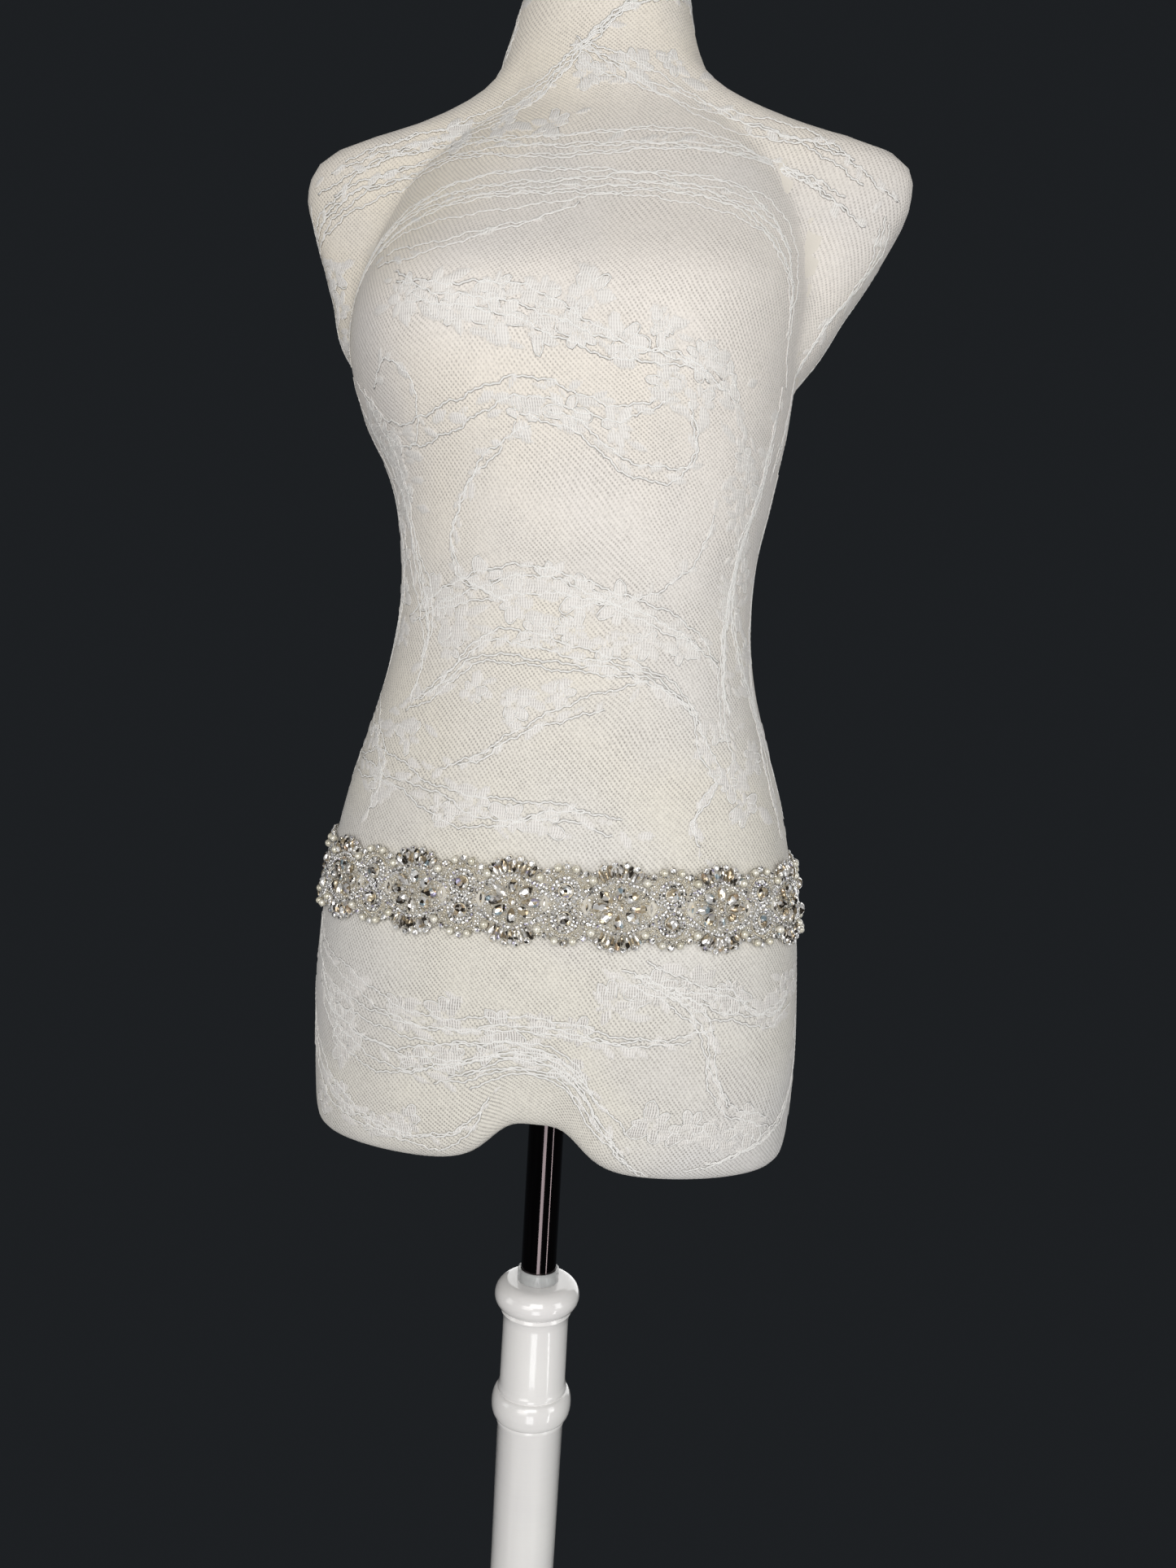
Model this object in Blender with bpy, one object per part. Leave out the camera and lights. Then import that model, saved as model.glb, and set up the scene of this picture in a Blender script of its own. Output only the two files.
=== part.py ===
"""Bridal sash of crystal and pearl medallions on the hips of a dress form that stands on a turned pole.

Metres, +Z up. The form faces -Y, and the origin is the middle of the base's underside, on the floor.
Along the sash, places are given as a length from the front and a height from its middle line.
"""
import bisect
import math
from collections import namedtuple

import bmesh
import bpy
from mathutils import Vector

TOUCH_GAP = 0.0003

# Stand
BASE_RADIUS = 0.170
BASE_HEIGHT = 0.028
BASE_FOOT_EDGE = 0.004
BASE_TOP_EDGE = 0.006
POLE_TOP = 0.711
POLE_RADIUS = 0.0228
POLE_FOOT_RADIUS = 0.0218
POLE_TAPER_START = 0.50
POLE_NECK_RADIUS = 0.0225
POLE_NECK_DROP = 0.004
POLE_THROAT_RADIUS = 0.0243
POLE_THROAT_DROP = 0.0005
FLANGE_RADIUS = 0.0290
FLANGE_HEIGHT = 0.020
BEAD_RADIUS = 0.0273
BEAD_HEIGHT = 0.022
BEAD_MIDDLE = 0.625
ROD_RADIUS = 0.0120
ROD_TOP = 0.900
ROD_BOTTOM = 0.420
BORE_CLEARANCE = 0.0005
BORE_BOTTOM = 0.340
COLLAR_WALL = 0.0016
COLLAR_HEIGHT = 0.008
ROUND_SIDES = 28

# Dress form
FORM_BOTTOM = 0.8185
ARCH_HEIGHT = 0.029
ARCH_HALF_WIDTH = 0.031
ARCH_SIDE = 0.003
ARCH_FADE_TOP = 0.930
SQUARENESS = 2.15
THIGH_SQUARENESS = 0.40
LENS_SQUARENESS = 3.2
LENS_FRONT = 0.040
LENS_BACK = 0.052
SIDE_CROWDING = 0.12
LENS_BLEND = 0.010
BUST_HEIGHT = 1.335
BUST_SIDE = 0.090
BUST_OUT = 0.034
BUST_WIDTH = 0.056
BUST_RISE = 0.036
BUST_DROP = 0.052
BUST_SPREAD = 4.0
FORM_SIDES = 38
CAP_RINGS = 4

Section = namedtuple("Section", "height chest shoulder front back shift")
SECTIONS = (
    Section(0.8185, 0.1450, 0.0000, 0.0810, 0.0870, 0.0020),
    Section(0.8205, 0.1525, 0.0000, 0.0870, 0.0940, 0.0020),
    Section(0.8280, 0.1562, 0.0000, 0.0925, 0.0990, 0.0020),
    Section(0.8450, 0.1582, 0.0000, 0.0965, 0.1035, 0.0020),
    Section(0.8800, 0.1602, 0.0000, 0.1010, 0.1100, 0.0015),
    Section(0.9200, 0.1605, 0.0000, 0.1045, 0.1160, 0.0000),
    Section(0.9600, 0.1580, 0.0000, 0.1070, 0.1185, 0.0000),
    Section(1.0000, 0.1525, 0.0000, 0.1065, 0.1150, 0.0000),
    Section(1.0400, 0.1440, 0.0000, 0.1030, 0.1070, 0.0000),
    Section(1.0800, 0.1325, 0.0000, 0.0975, 0.0960, 0.0000),
    Section(1.1200, 0.1210, 0.0000, 0.0915, 0.0860, 0.0000),
    Section(1.1600, 0.1155, 0.0000, 0.0880, 0.0800, 0.0000),
    Section(1.2000, 0.1163, 0.0000, 0.0880, 0.0800, 0.0000),
    Section(1.2400, 0.1235, 0.0200, 0.0905, 0.0850, 0.0000),
    Section(1.2800, 0.1360, 0.0950, 0.0945, 0.0910, -0.0060),
    Section(1.3200, 0.1430, 0.1500, 0.0965, 0.0960, -0.0090),
    Section(1.3600, 0.1450, 0.1710, 0.0950, 0.0985, -0.0040),
    Section(1.4000, 0.1390, 0.1900, 0.0860, 0.0990, 0.0010),
    Section(1.4300, 0.1270, 0.1995, 0.0740, 0.0960, 0.0030),
    Section(1.4520, 0.1100, 0.1870, 0.0620, 0.0900, 0.0055),
    Section(1.4700, 0.0880, 0.1280, 0.0530, 0.0830, 0.0060),
    Section(1.4900, 0.0740, 0.0830, 0.0480, 0.0760, 0.0030),
    Section(1.5200, 0.0620, 0.0500, 0.0450, 0.0690, -0.0015),
    Section(1.5600, 0.0515, 0.0000, 0.0460, 0.0620, 0.0000),
    Section(1.5900, 0.0505, 0.0000, 0.0460, 0.0590, 0.0000),
    Section(1.5975, 0.0500, 0.0000, 0.0430, 0.0545, 0.0000),
    Section(1.6000, 0.0400, 0.0000, 0.0340, 0.0440, 0.0000),
)

# Sash
SASH_MIDDLE = 0.988
SASH_SHIFT = -0.012
MEDALLIONS = 13
REPEAT = 0.062
BAND_CLEAR = 0.0006
BAND_WALL = 0.0012
BAND_END = 0.0215
BAND_INSET = 0.0008
BAND_FAN_EDGE = (0.45, 0.75)
BAND_COLUMNS = 8
MEDALLION_HALF_WIDTH = 0.0202
MEDALLION_HALF_HEIGHT = 0.0282
MEDALLION_SCALLOP = 0.0012
MEDALLION_TIPS = 18
MEDALLION_SIDES = 32
MEDALLION_RINGS = (0.20, 0.42, 0.62, 1.00)
FLOWER_PETALS = 8
STONE_SEAT = 0.0010
MIDDLE_STONE_RISE = 0.0032
PETAL_RISE = 0.0036
PETAL_START = (0.0030, 0.0080)
PETAL_END = (0.0125, 0.0165)
CHAIN_RISE = 0.0022
CHAIN_START = (0.0130, 0.0170)
FAN_RISE = 0.0036
FAN_START = (0.0165, 0.0210)
FAN_SLOPE = (0.55, 0.75)
LINK_HALF_WIDTH = 0.0102
LINK_HALF_HEIGHT = 0.0235
LINK_WAIST = 0.0018
LINK_LEVELS = (0.0, 0.0035, 0.0081, 0.0120, 0.0160, 0.0205, 0.0235)
LINK_STONE_UP = 0.0081
LINK_STONE_RADIUS = 0.0040
LINK_STONE_RISE = 0.0045
LINK_STONE_CROWN = 0.35
LINK_BEAD_RISE = 0.0038
LINK_BEAD_START = (0.0170, 0.0200)
LINK_BEAD_END = (0.0220, 0.0236)
LINK_PLAIN_RISE = 0.0022

# Ribbon that ties the sash at the back
RIBBON_WIDTH = 0.038
RIBBON_WALL = 0.0012
RIBBON_LIFT = 0.0008
KNOT_HALF_WIDTH = 0.012
KNOT_HALF_HEIGHT = 0.010
KNOT_DEPTH = 0.010
KNOT_EDGE_DEPTH = 0.004
KNOT_RINGS = (0.35, 0.65, 0.88, 1.0)
KNOT_SIDES = 20
GATHERED_WIDTH = 0.016
GATHER_DEPTH = 0.0022
GATHERS = 3
TAIL_LENGTH = 0.120
TAIL_SLANT = 0.012
TAIL_FOLD = 0.002
TAIL_FOLDS = 2
TAIL_TOP_WIDTH = 0.009
TAIL_SPREAD = 0.0225
TAIL_CLEAR = 0.0012


def clear_scene():
    for item in list(bpy.data.objects):
        bpy.data.objects.remove(item, do_unlink=True)


def smooth_step(low, high, value):
    share = min(max((value - low) / (high - low), 0.0), 1.0)
    return share * share * (3.0 - 2.0 * share)


def section_at(height):
    """The form's section at a height, on a smooth curve through the rows of SECTIONS."""
    heights = [row.height for row in SECTIONS]
    index = min(max(bisect.bisect_right(heights, height) - 1, 0), len(SECTIONS) - 2)
    low, high = SECTIONS[index], SECTIONS[index + 1]
    before = SECTIONS[max(index - 1, 0)]
    after = SECTIONS[min(index + 2, len(SECTIONS) - 1)]
    span = high.height - low.height
    share = min(max((height - low.height) / span, 0.0), 1.0)
    values = []
    for column in range(1, len(Section._fields)):
        slope_low = (high[column] - before[column]) / (high.height - before.height) * span
        slope_high = (after[column] - low[column]) / (after.height - low.height) * span
        square, cube = share ** 2, share ** 3
        values.append((2 * cube - 3 * square + 1) * low[column] + (cube - 2 * square + share) * slope_low
                      + (3 * square - 2 * cube) * high[column] + (cube - square) * slope_high)
    return Section(height, *values)


def rounded(cosine, sine, width, depth, power=SQUARENESS):
    """Distance from the axis to a squarish oval of this half-width and half-depth."""
    return ((abs(cosine) / width) ** power + (abs(sine) / depth) ** power) ** (-1.0 / power)


def arch_lift(side, height):
    """How far the arch between the thigh stumps lifts a point of the form's lower end."""
    opening = 1.0 / (1.0 + ((side - ARCH_SIDE) / ARCH_HALF_WIDTH) ** 4)
    return ARCH_HEIGHT * opening * (1.0 - smooth_step(FORM_BOTTOM, ARCH_FADE_TOP, height))


def bust_at(side, height):
    """How far the bust stands out of the chest's oval."""
    spread = BUST_RISE if height > BUST_HEIGHT else BUST_DROP
    fall = math.exp(-0.5 * ((height - BUST_HEIGHT) / spread) ** 2)
    lobes = sum(math.exp(-0.5 * ((side - sign * BUST_SIDE) / BUST_WIDTH) ** 2) for sign in (-1, 1))
    return BUST_OUT * fall * lobes


def form_point(angle, height):
    """Point on the form's skin, at an angle round the axis: -90 degrees is the front."""
    section = section_at(height)
    cosine, sine = math.cos(angle), math.sin(angle)
    depth = section.front if sine < 0 else section.back
    legs = 1.0 - smooth_step(FORM_BOTTOM, ARCH_FADE_TOP, height)
    radius = rounded(cosine, sine, section.chest, depth, SQUARENESS + THIGH_SQUARENESS * legs)
    if section.shoulder > 0.03:
        lens_depth = LENS_FRONT if sine < 0 else LENS_BACK
        lens = rounded(cosine, sine, section.shoulder, lens_depth, LENS_SQUARENESS)
        spread = math.hypot(radius - lens, LENS_BLEND)
        radius = max(radius, 0.5 * (radius + lens + spread) - 0.5 * LENS_BLEND)
    side = radius * cosine
    swell = max(-sine, 0.0) * bust_at(side, height)
    moved = side * (1.0 + BUST_SPREAD * swell) + section.shift
    return Vector((moved, radius * sine - swell, height + arch_lift(side, height)))


def form_normal(angle, height):
    step = 0.002
    round_way = form_point(angle + step, height) - form_point(angle - step, height)
    up_way = form_point(angle, height + step) - form_point(angle, height - step)
    return round_way.cross(up_way).normalized()


def measure_hips():
    """Angles round the sash's middle line and the length along it up to each."""
    steps = 720
    angles = [2.0 * math.pi * index / steps for index in range(steps + 1)]
    points = [form_point(angle - math.pi / 2, SASH_MIDDLE) for angle in angles]
    lengths = [0.0]
    for before, after in zip(points, points[1:]):
        lengths.append(lengths[-1] + (after - before).length)
    return angles, lengths


HIP_ANGLES, HIP_LENGTHS = measure_hips()
HIP_GIRTH = HIP_LENGTHS[-1]


def sash_point(along, up, out):
    """Point of the sash: along its length from the front, up from its middle line, out from the form."""
    wanted = (along + SASH_SHIFT) % HIP_GIRTH
    index = min(bisect.bisect_right(HIP_LENGTHS, wanted) - 1, len(HIP_ANGLES) - 2)
    share = (wanted - HIP_LENGTHS[index]) / (HIP_LENGTHS[index + 1] - HIP_LENGTHS[index])
    angle = HIP_ANGLES[index] + share * (HIP_ANGLES[index + 1] - HIP_ANGLES[index]) - math.pi / 2
    height = SASH_MIDDLE + up
    return form_point(angle, height) + out * form_normal(angle, height)


def finish(name, colour, roughness, metallic=0.0):
    material = bpy.data.materials.new(name)
    material.use_nodes = True
    shader = material.node_tree.nodes["Principled BSDF"]
    shader.inputs["Base Color"].default_value = (*colour, 1.0)
    shader.inputs["Roughness"].default_value = roughness
    shader.inputs["Metallic"].default_value = metallic
    material.diffuse_color = (*colour, 1.0)
    return material


def carrier(name, height, parent=None):
    """Empty on the stand's axis that carries the pieces of one body."""
    empty = bpy.data.objects.new(name, None)
    empty.location = (0.0, 0.0, height - (parent.location.z if parent else 0.0))
    empty.parent = parent
    bpy.context.collection.objects.link(empty)
    bpy.context.view_layer.update()
    return empty


def solid(name, points, faces, material, parent):
    """Closed solid from points in the part's frame, hung on its body's empty."""
    start = parent.matrix_world.translation
    mesh = bpy.data.meshes.new(name)
    mesh.from_pydata([tuple(point - start) for point in points], [], faces)
    shape = bmesh.new()
    shape.from_mesh(mesh)
    bmesh.ops.recalc_face_normals(shape, faces=shape.faces)
    shape.to_mesh(mesh)
    shape.free()
    mesh.shade_smooth()
    mesh.set_sharp_from_angle(angle=math.radians(40))
    mesh.materials.append(material)
    item = bpy.data.objects.new(name, mesh)
    item.parent = parent
    bpy.context.collection.objects.link(item)
    return item


def rings_solid(name, rings, material, parent, closed=False):
    """Solid through rings of points; closed joins the last ring to the first, else both ends are filled."""
    sides = len(rings[0])
    points = [point for ring in rings for point in ring]
    faces = []
    for row in range(len(rings) if closed else len(rings) - 1):
        low = row * sides
        high = (row + 1) % len(rings) * sides
        for side in range(sides):
            after = (side + 1) % sides
            faces.append((low + side, low + after, high + after, high + side))
    if not closed:
        for start in (0, (len(rings) - 1) * sides):
            middle = len(points)
            points.append(sum(points[start:start + sides], Vector()) / sides)
            faces.extend((start + side, start + (side + 1) % sides, middle) for side in range(sides))
    return solid(name, points, faces, material, parent)


def turned(name, profile, material, parent, closed=False):
    """Piece turned on the stand's axis from (radius, height) pairs."""
    turns = [2.0 * math.pi * side / ROUND_SIDES for side in range(ROUND_SIDES)]
    rings = [[Vector((radius * math.cos(turn), radius * math.sin(turn), height)) for turn in turns]
             for radius, height in profile]
    return rings_solid(name, rings, material, parent, closed)


def wall(name, columns, rows, outer, inner, material, parent):
    """Closed wall between two surfaces, each a function of a column and a row share from 0 to 1."""
    points = []
    for surface in (outer, inner):
        for column in range(columns + 1):
            points.extend(surface(column / columns, row / rows) for row in range(rows + 1))
    stride = rows + 1
    offset = stride * (columns + 1)
    faces = []
    for column in range(columns):
        for row in range(rows):
            corner = column * stride + row
            quad = (corner, corner + 1, corner + stride + 1, corner + stride)
            faces.append(quad)
            faces.append(tuple(offset + index for index in reversed(quad)))
    edge = [column * stride for column in range(columns)]
    edge += [columns * stride + row for row in range(rows)]
    edge += [column * stride + rows for column in range(columns, 0, -1)]
    edge += [row for row in range(rows, 0, -1)]
    for before, after in zip(edge, edge[1:] + edge[:1]):
        faces.append((before, after, offset + after, offset + before))
    return solid(name, points, faces, material, parent)


def relief_plate(name, along, up, outline, relief, rings, base, material, parent, sides):
    """Plate on the sash: a plain back at height base, and a raised face given by relief(radius, turn)."""
    turns = [2.0 * math.pi * side / sides for side in range(sides)]
    limits = [outline(turn) for turn in turns]

    def ring(share, height):
        placed = []
        for turn, limit in zip(turns, limits):
            radius = share * limit
            out = base + (relief(radius, turn) if height is None else height)
            placed.append(sash_point(along + radius * math.cos(turn), up + radius * math.sin(turn), out))
        return placed

    levels = [ring(share, 0.0) for share in (0.5, 1.0)]
    levels += [ring(share, None) for share in reversed(rings)]
    points = [point for level in levels for point in level]
    faces = []
    for row in range(len(levels) - 1):
        for side in range(sides):
            after = (side + 1) % sides
            low, high = row * sides, (row + 1) * sides
            faces.append((low + side, low + after, high + after, high + side))
    for start, out in ((0, base), ((len(levels) - 1) * sides, base + relief(0.0, 0.0))):
        middle = len(points)
        points.append(sash_point(along, up, out))
        faces.extend((start + side, start + (side + 1) % sides, middle) for side in range(sides))
    return solid(name, points, faces, material, parent)


def arc(radius, height, bulge, half_height, steps):
    """Half-round turned edge from its lower to its upper end."""
    places = []
    for step in range(steps + 1):
        turn = math.pi * (step / steps - 0.5)
        places.append((radius + bulge * math.cos(turn), height + half_height * math.sin(turn)))
    return places


def build_stand(parent):
    white_wood = finish("white_wood", (0.80, 0.79, 0.77), 0.25)
    edge = BASE_TOP_EDGE
    turned("base", [(BASE_RADIUS - BASE_FOOT_EDGE, 0.0), (BASE_RADIUS, BASE_FOOT_EDGE),
                    (BASE_RADIUS, BASE_HEIGHT - edge), (BASE_RADIUS - 0.3 * edge, BASE_HEIGHT - 0.3 * edge),
                    (BASE_RADIUS - edge, BASE_HEIGHT)], white_wood, parent)
    bore = ROD_RADIUS + BORE_CLEARANCE
    foot = BASE_HEIGHT + TOUCH_GAP
    flange_middle = POLE_TOP - FLANGE_HEIGHT / 2
    flange_core = FLANGE_RADIUS - FLANGE_HEIGHT / 2
    profile = [(POLE_FOOT_RADIUS, foot), (POLE_FOOT_RADIUS, POLE_TAPER_START),
               (POLE_RADIUS, BEAD_MIDDLE - BEAD_HEIGHT / 2)]
    profile += arc(POLE_RADIUS, BEAD_MIDDLE, BEAD_RADIUS - POLE_RADIUS, BEAD_HEIGHT / 2 - 0.001, 6)
    profile += [(POLE_RADIUS, BEAD_MIDDLE + BEAD_HEIGHT / 2),
                (POLE_NECK_RADIUS, POLE_TOP - FLANGE_HEIGHT - POLE_NECK_DROP),
                (POLE_THROAT_RADIUS, POLE_TOP - FLANGE_HEIGHT - POLE_THROAT_DROP)]
    profile += arc(flange_core, flange_middle, FLANGE_HEIGHT / 2, FLANGE_HEIGHT / 2, 6)[1:]
    inside = [(bore, POLE_TOP), (bore, BORE_BOTTOM)]
    turned("pole", profile + inside, white_wood, parent)
    clear_plastic = finish("clear_plastic", (0.85, 0.86, 0.86), 0.1)
    outer = bore + COLLAR_WALL
    low = POLE_TOP + TOUCH_GAP
    turned("clear_collar", [(bore, low), (outer, low), (outer, low + COLLAR_HEIGHT),
                            (bore, low + COLLAR_HEIGHT)], clear_plastic, parent, closed=True)


def build_rod(parent):
    black_chrome = finish("black_chrome", (0.03, 0.025, 0.03), 0.12, 1.0)
    turned("rod", [(ROD_RADIUS, ROD_BOTTOM), (ROD_RADIUS, ROD_TOP)], black_chrome, parent)


def build_form(parent):
    """Form's skin from the socket for the rod, over its lower end and up to the closed neck."""
    cover = finish("lace_cover", (0.78, 0.75, 0.71), 0.85)
    even = [2.0 * math.pi * side / FORM_SIDES for side in range(FORM_SIDES)]
    turns = [turn - SIDE_CROWDING * math.sin(2.0 * turn) for turn in even]
    socket = ROD_RADIUS + BORE_CLEARANCE
    rings = [[Vector((socket * math.cos(turn), socket * math.sin(turn), ROD_TOP + TOUCH_GAP))
              for turn in turns]]
    for step in range(CAP_RINGS):
        share = (step / CAP_RINGS) ** 0.8
        ring = []
        for turn in turns:
            rim = form_point(turn, FORM_BOTTOM)
            side = socket * math.cos(turn) * (1 - share) + rim.x * share
            depth = socket * math.sin(turn) * (1 - share) + rim.y * share
            ring.append(Vector((side, depth, FORM_BOTTOM + arch_lift(side, FORM_BOTTOM))))
        rings.append(ring)
    for low, high in zip(SECTIONS, SECTIONS[1:]):
        rings.append([form_point(turn, low.height) for turn in turns])
        if high.height - low.height > 0.02:
            middle = 0.5 * (low.height + high.height)
            rings.append([form_point(turn, middle) for turn in turns])
    rings.append([form_point(turn, SECTIONS[-1].height) for turn in turns])
    rings_solid("dress_form", rings, cover, parent)


def medallion_outline(turn):
    """Scalloped fans above and below, and straight sides where the links begin."""
    fan = MEDALLION_HALF_HEIGHT + MEDALLION_SCALLOP * (abs(math.cos(MEDALLION_TIPS / 2 * turn)) - 1.0)
    side = MEDALLION_HALF_WIDTH / max(abs(math.cos(turn)), 0.2)
    return min(fan, side)


def medallion_relief(radius, turn):
    """Heights of the flower, the chain round it and the fans."""
    if radius == 0.0:
        return MIDDLE_STONE_RISE
    petals = abs(math.cos(FLOWER_PETALS / 2 * turn))
    flower = PETAL_RISE * petals * smooth_step(*PETAL_START, radius) * (1 - smooth_step(*PETAL_END, radius))
    fans = FAN_RISE * smooth_step(*FAN_SLOPE, abs(math.sin(turn))) * smooth_step(*FAN_START, radius)
    chain = CHAIN_RISE * smooth_step(*CHAIN_START, radius)
    return STONE_SEAT + max(flower, fans, chain)


def link_half_width(up):
    """The two haloes and the narrower bead rows above and below them."""
    lobe = LINK_WAIST * (1.0 - abs(abs(up) - LINK_STONE_UP) / LINK_STONE_UP)
    return LINK_HALF_WIDTH - LINK_WAIST + lobe


def link_relief(side, up):
    """Heights of the two round stones, their haloes and the bead rows."""
    reach = math.hypot(side, abs(up) - LINK_STONE_UP)
    stone = 0.0
    if reach < LINK_STONE_RADIUS:
        stone = LINK_STONE_RISE * (1.0 - LINK_STONE_CROWN * (reach / LINK_STONE_RADIUS) ** 2)
    row = smooth_step(*LINK_BEAD_START, abs(up)) * (1.0 - smooth_step(*LINK_BEAD_END, abs(up)))
    return max(LINK_PLAIN_RISE, stone, LINK_BEAD_RISE * row)


def band_half_height(along):
    """The backing's cut edge: high behind the medallions, lower behind the links."""
    place = (along / REPEAT) % 1.0
    from_medallion = 2.0 * min(place, 1.0 - place)
    fan = (MEDALLION_HALF_HEIGHT - LINK_HALF_HEIGHT) * (1.0 - smooth_step(*BAND_FAN_EDGE, from_medallion))
    return LINK_HALF_HEIGHT + fan - BAND_INSET


def build_sash(parent):
    satin = finish("satin_backing", (0.80, 0.78, 0.73), 0.5)
    crystal = finish("crystal_trim", (0.62, 0.60, 0.56), 0.2, 0.4)
    half = (MEDALLIONS - 1) / 2 * REPEAT + BAND_END
    columns = (MEDALLIONS - 1) * BAND_COLUMNS + 6

    def band(out):
        def surface(column_share, row_share):
            along = half * (2.0 * column_share - 1.0)
            return sash_point(along, band_half_height(along) * (2.0 * row_share - 1.0), out)
        return surface

    wall("backing", columns, 2, band(BAND_CLEAR + BAND_WALL), band(BAND_CLEAR), satin, parent)
    base = BAND_CLEAR + BAND_WALL + TOUCH_GAP
    first = -(MEDALLIONS - 1) / 2 * REPEAT
    for index in range(MEDALLIONS):
        relief_plate(f"medallion_{index + 1:02d}", first + index * REPEAT, 0.0, medallion_outline,
                     medallion_relief, MEDALLION_RINGS, base, crystal, parent, MEDALLION_SIDES)
    rows = [-level for level in reversed(LINK_LEVELS[1:])] + list(LINK_LEVELS)
    for index in range(MEDALLIONS - 1):
        middle = first + (index + 0.5) * REPEAT

        def face(column_share, row_share, raised=True):
            up = rows[round(row_share * (len(rows) - 1))]
            side = link_half_width(up) * (2.0 * column_share - 1.0)
            return sash_point(middle + side, up, base + (link_relief(side, up) if raised else 0.0))

        wall(f"link_{index + 1:02d}", 4, len(rows) - 1, face,
             lambda column, row: face(column, row, raised=False), crystal, parent)
    return half


def build_ribbon(parent, band_half):
    """Satin ribbon from each end of the sash to a knot at the back, with two hanging tails."""
    satin = finish("satin_ribbon", (0.82, 0.79, 0.74), 0.35)
    back = HIP_GIRTH / 2.0
    for side, name in ((-1, "ribbon_left"), (1, "ribbon_right")):
        start = band_half + TOUCH_GAP
        end = back - KNOT_HALF_WIDTH * 0.8

        def stretch(out):
            def surface(column_share, row_share):
                width = RIBBON_WIDTH + (GATHERED_WIDTH - RIBBON_WIDTH) * smooth_step(0.2, 1.0, column_share)
                up = width * (row_share - 0.5)
                wave = 0.5 - 0.5 * math.cos(2.0 * math.pi * GATHERS * row_share)
                gather = GATHER_DEPTH * column_share * wave
                lift = RIBBON_LIFT * column_share
                return sash_point(side * (start + (end - start) * column_share), up, out + gather + lift)
            return surface

        wall(name, 5, 12, stretch(BAND_CLEAR + RIBBON_WALL), stretch(BAND_CLEAR), satin, parent)

    def knot_outline(turn):
        return rounded(math.cos(turn), math.sin(turn), KNOT_HALF_WIDTH, KNOT_HALF_HEIGHT)

    def knot_relief(radius, turn):
        share = radius / knot_outline(turn)
        return KNOT_EDGE_DEPTH + (KNOT_DEPTH - KNOT_EDGE_DEPTH) * math.sqrt(max(1.0 - share ** 2, 0.0))

    under = BAND_CLEAR + RIBBON_WALL + GATHER_DEPTH + RIBBON_LIFT + TOUCH_GAP
    relief_plate("knot", back, 0.0, knot_outline, knot_relief, KNOT_RINGS, under, satin, parent, KNOT_SIDES)
    knot_place = sash_point(back, 0.0, under)
    for side, name in ((-1, "tail_left"), (1, "tail_right")):

        def tail(out):
            def surface(column_share, row_share):
                width = TAIL_TOP_WIDTH + (RIBBON_WIDTH - TAIL_TOP_WIDTH) * smooth_step(0.0, 0.5, row_share)
                middle = TAIL_TOP_WIDTH * 0.6 + TAIL_SPREAD * smooth_step(0.0, 1.0, row_share)
                length = TAIL_LENGTH + TAIL_SLANT * (column_share - 0.5) * side
                wave = 0.5 + 0.5 * math.cos(2.0 * math.pi * TAIL_FOLDS * column_share)
                fold = TAIL_FOLD * (1.0 - row_share) * wave
                across = max(middle + side * width * (column_share - 0.5), TOUCH_GAP)
                depth = knot_place.y + TAIL_CLEAR + fold + TAIL_FOLD * math.sin(math.pi * row_share) + out
                reach = min(across / KNOT_HALF_WIDTH, 0.98)
                top = SASH_MIDDLE - KNOT_HALF_HEIGHT * (1.0 - reach ** SQUARENESS) ** (1.0 / SQUARENESS)
                return Vector((knot_place.x + side * across, depth, top - TOUCH_GAP - length * row_share))
            return surface

        wall(name, 8, 8, tail(RIBBON_WALL), tail(0.0), satin, parent)


clear_scene()
stand_carrier = carrier("stand_carrier", 0.0)
rod_carrier = carrier("rod_carrier", POLE_TOP)
figure_carrier = carrier("figure_carrier", ROD_TOP, rod_carrier)
build_stand(stand_carrier)
build_rod(rod_carrier)
build_form(figure_carrier)
build_ribbon(figure_carrier, build_sash(figure_carrier))
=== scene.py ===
"""Bridal sash of crystals and pearls on a lace-covered dress form: the finish of every surface.

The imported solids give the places. Metres, +Z up, and the form's front faces -Y.
"""
import math
import random

import bpy
import numpy as np
from mathutils import Matrix, Vector


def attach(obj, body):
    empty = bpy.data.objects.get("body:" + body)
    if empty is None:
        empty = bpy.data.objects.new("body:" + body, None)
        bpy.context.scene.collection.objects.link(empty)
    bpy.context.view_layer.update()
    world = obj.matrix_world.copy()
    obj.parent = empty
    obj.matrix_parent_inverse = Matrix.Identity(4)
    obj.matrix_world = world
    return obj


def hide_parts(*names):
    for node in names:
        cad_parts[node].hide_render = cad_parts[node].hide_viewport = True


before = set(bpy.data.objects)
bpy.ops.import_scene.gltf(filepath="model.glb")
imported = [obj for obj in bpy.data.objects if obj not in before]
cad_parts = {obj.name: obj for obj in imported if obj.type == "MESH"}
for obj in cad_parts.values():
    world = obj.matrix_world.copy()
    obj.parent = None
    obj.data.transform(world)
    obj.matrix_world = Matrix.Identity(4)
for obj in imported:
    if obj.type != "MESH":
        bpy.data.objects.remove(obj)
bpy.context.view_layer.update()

# Camera, from the photograph's frame of 1445 by 1927 pixels
PHOTO_HEIGHT = 1927
FOCAL_PIXELS = 1447
SENSOR = 36.0
CAMERA_AZIMUTH = 8.0
CAMERA_DISTANCE = 0.785
CAMERA_HEIGHT = 1.100
CAMERA_PITCH = 3.5
CAMERA_YAW = 1.10
CAMERA_ROLL = 3.25
FLOOR_SIZE = 0.96
BACKDROP = (0.0125, 0.0142, 0.0163, 1.0)

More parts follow.
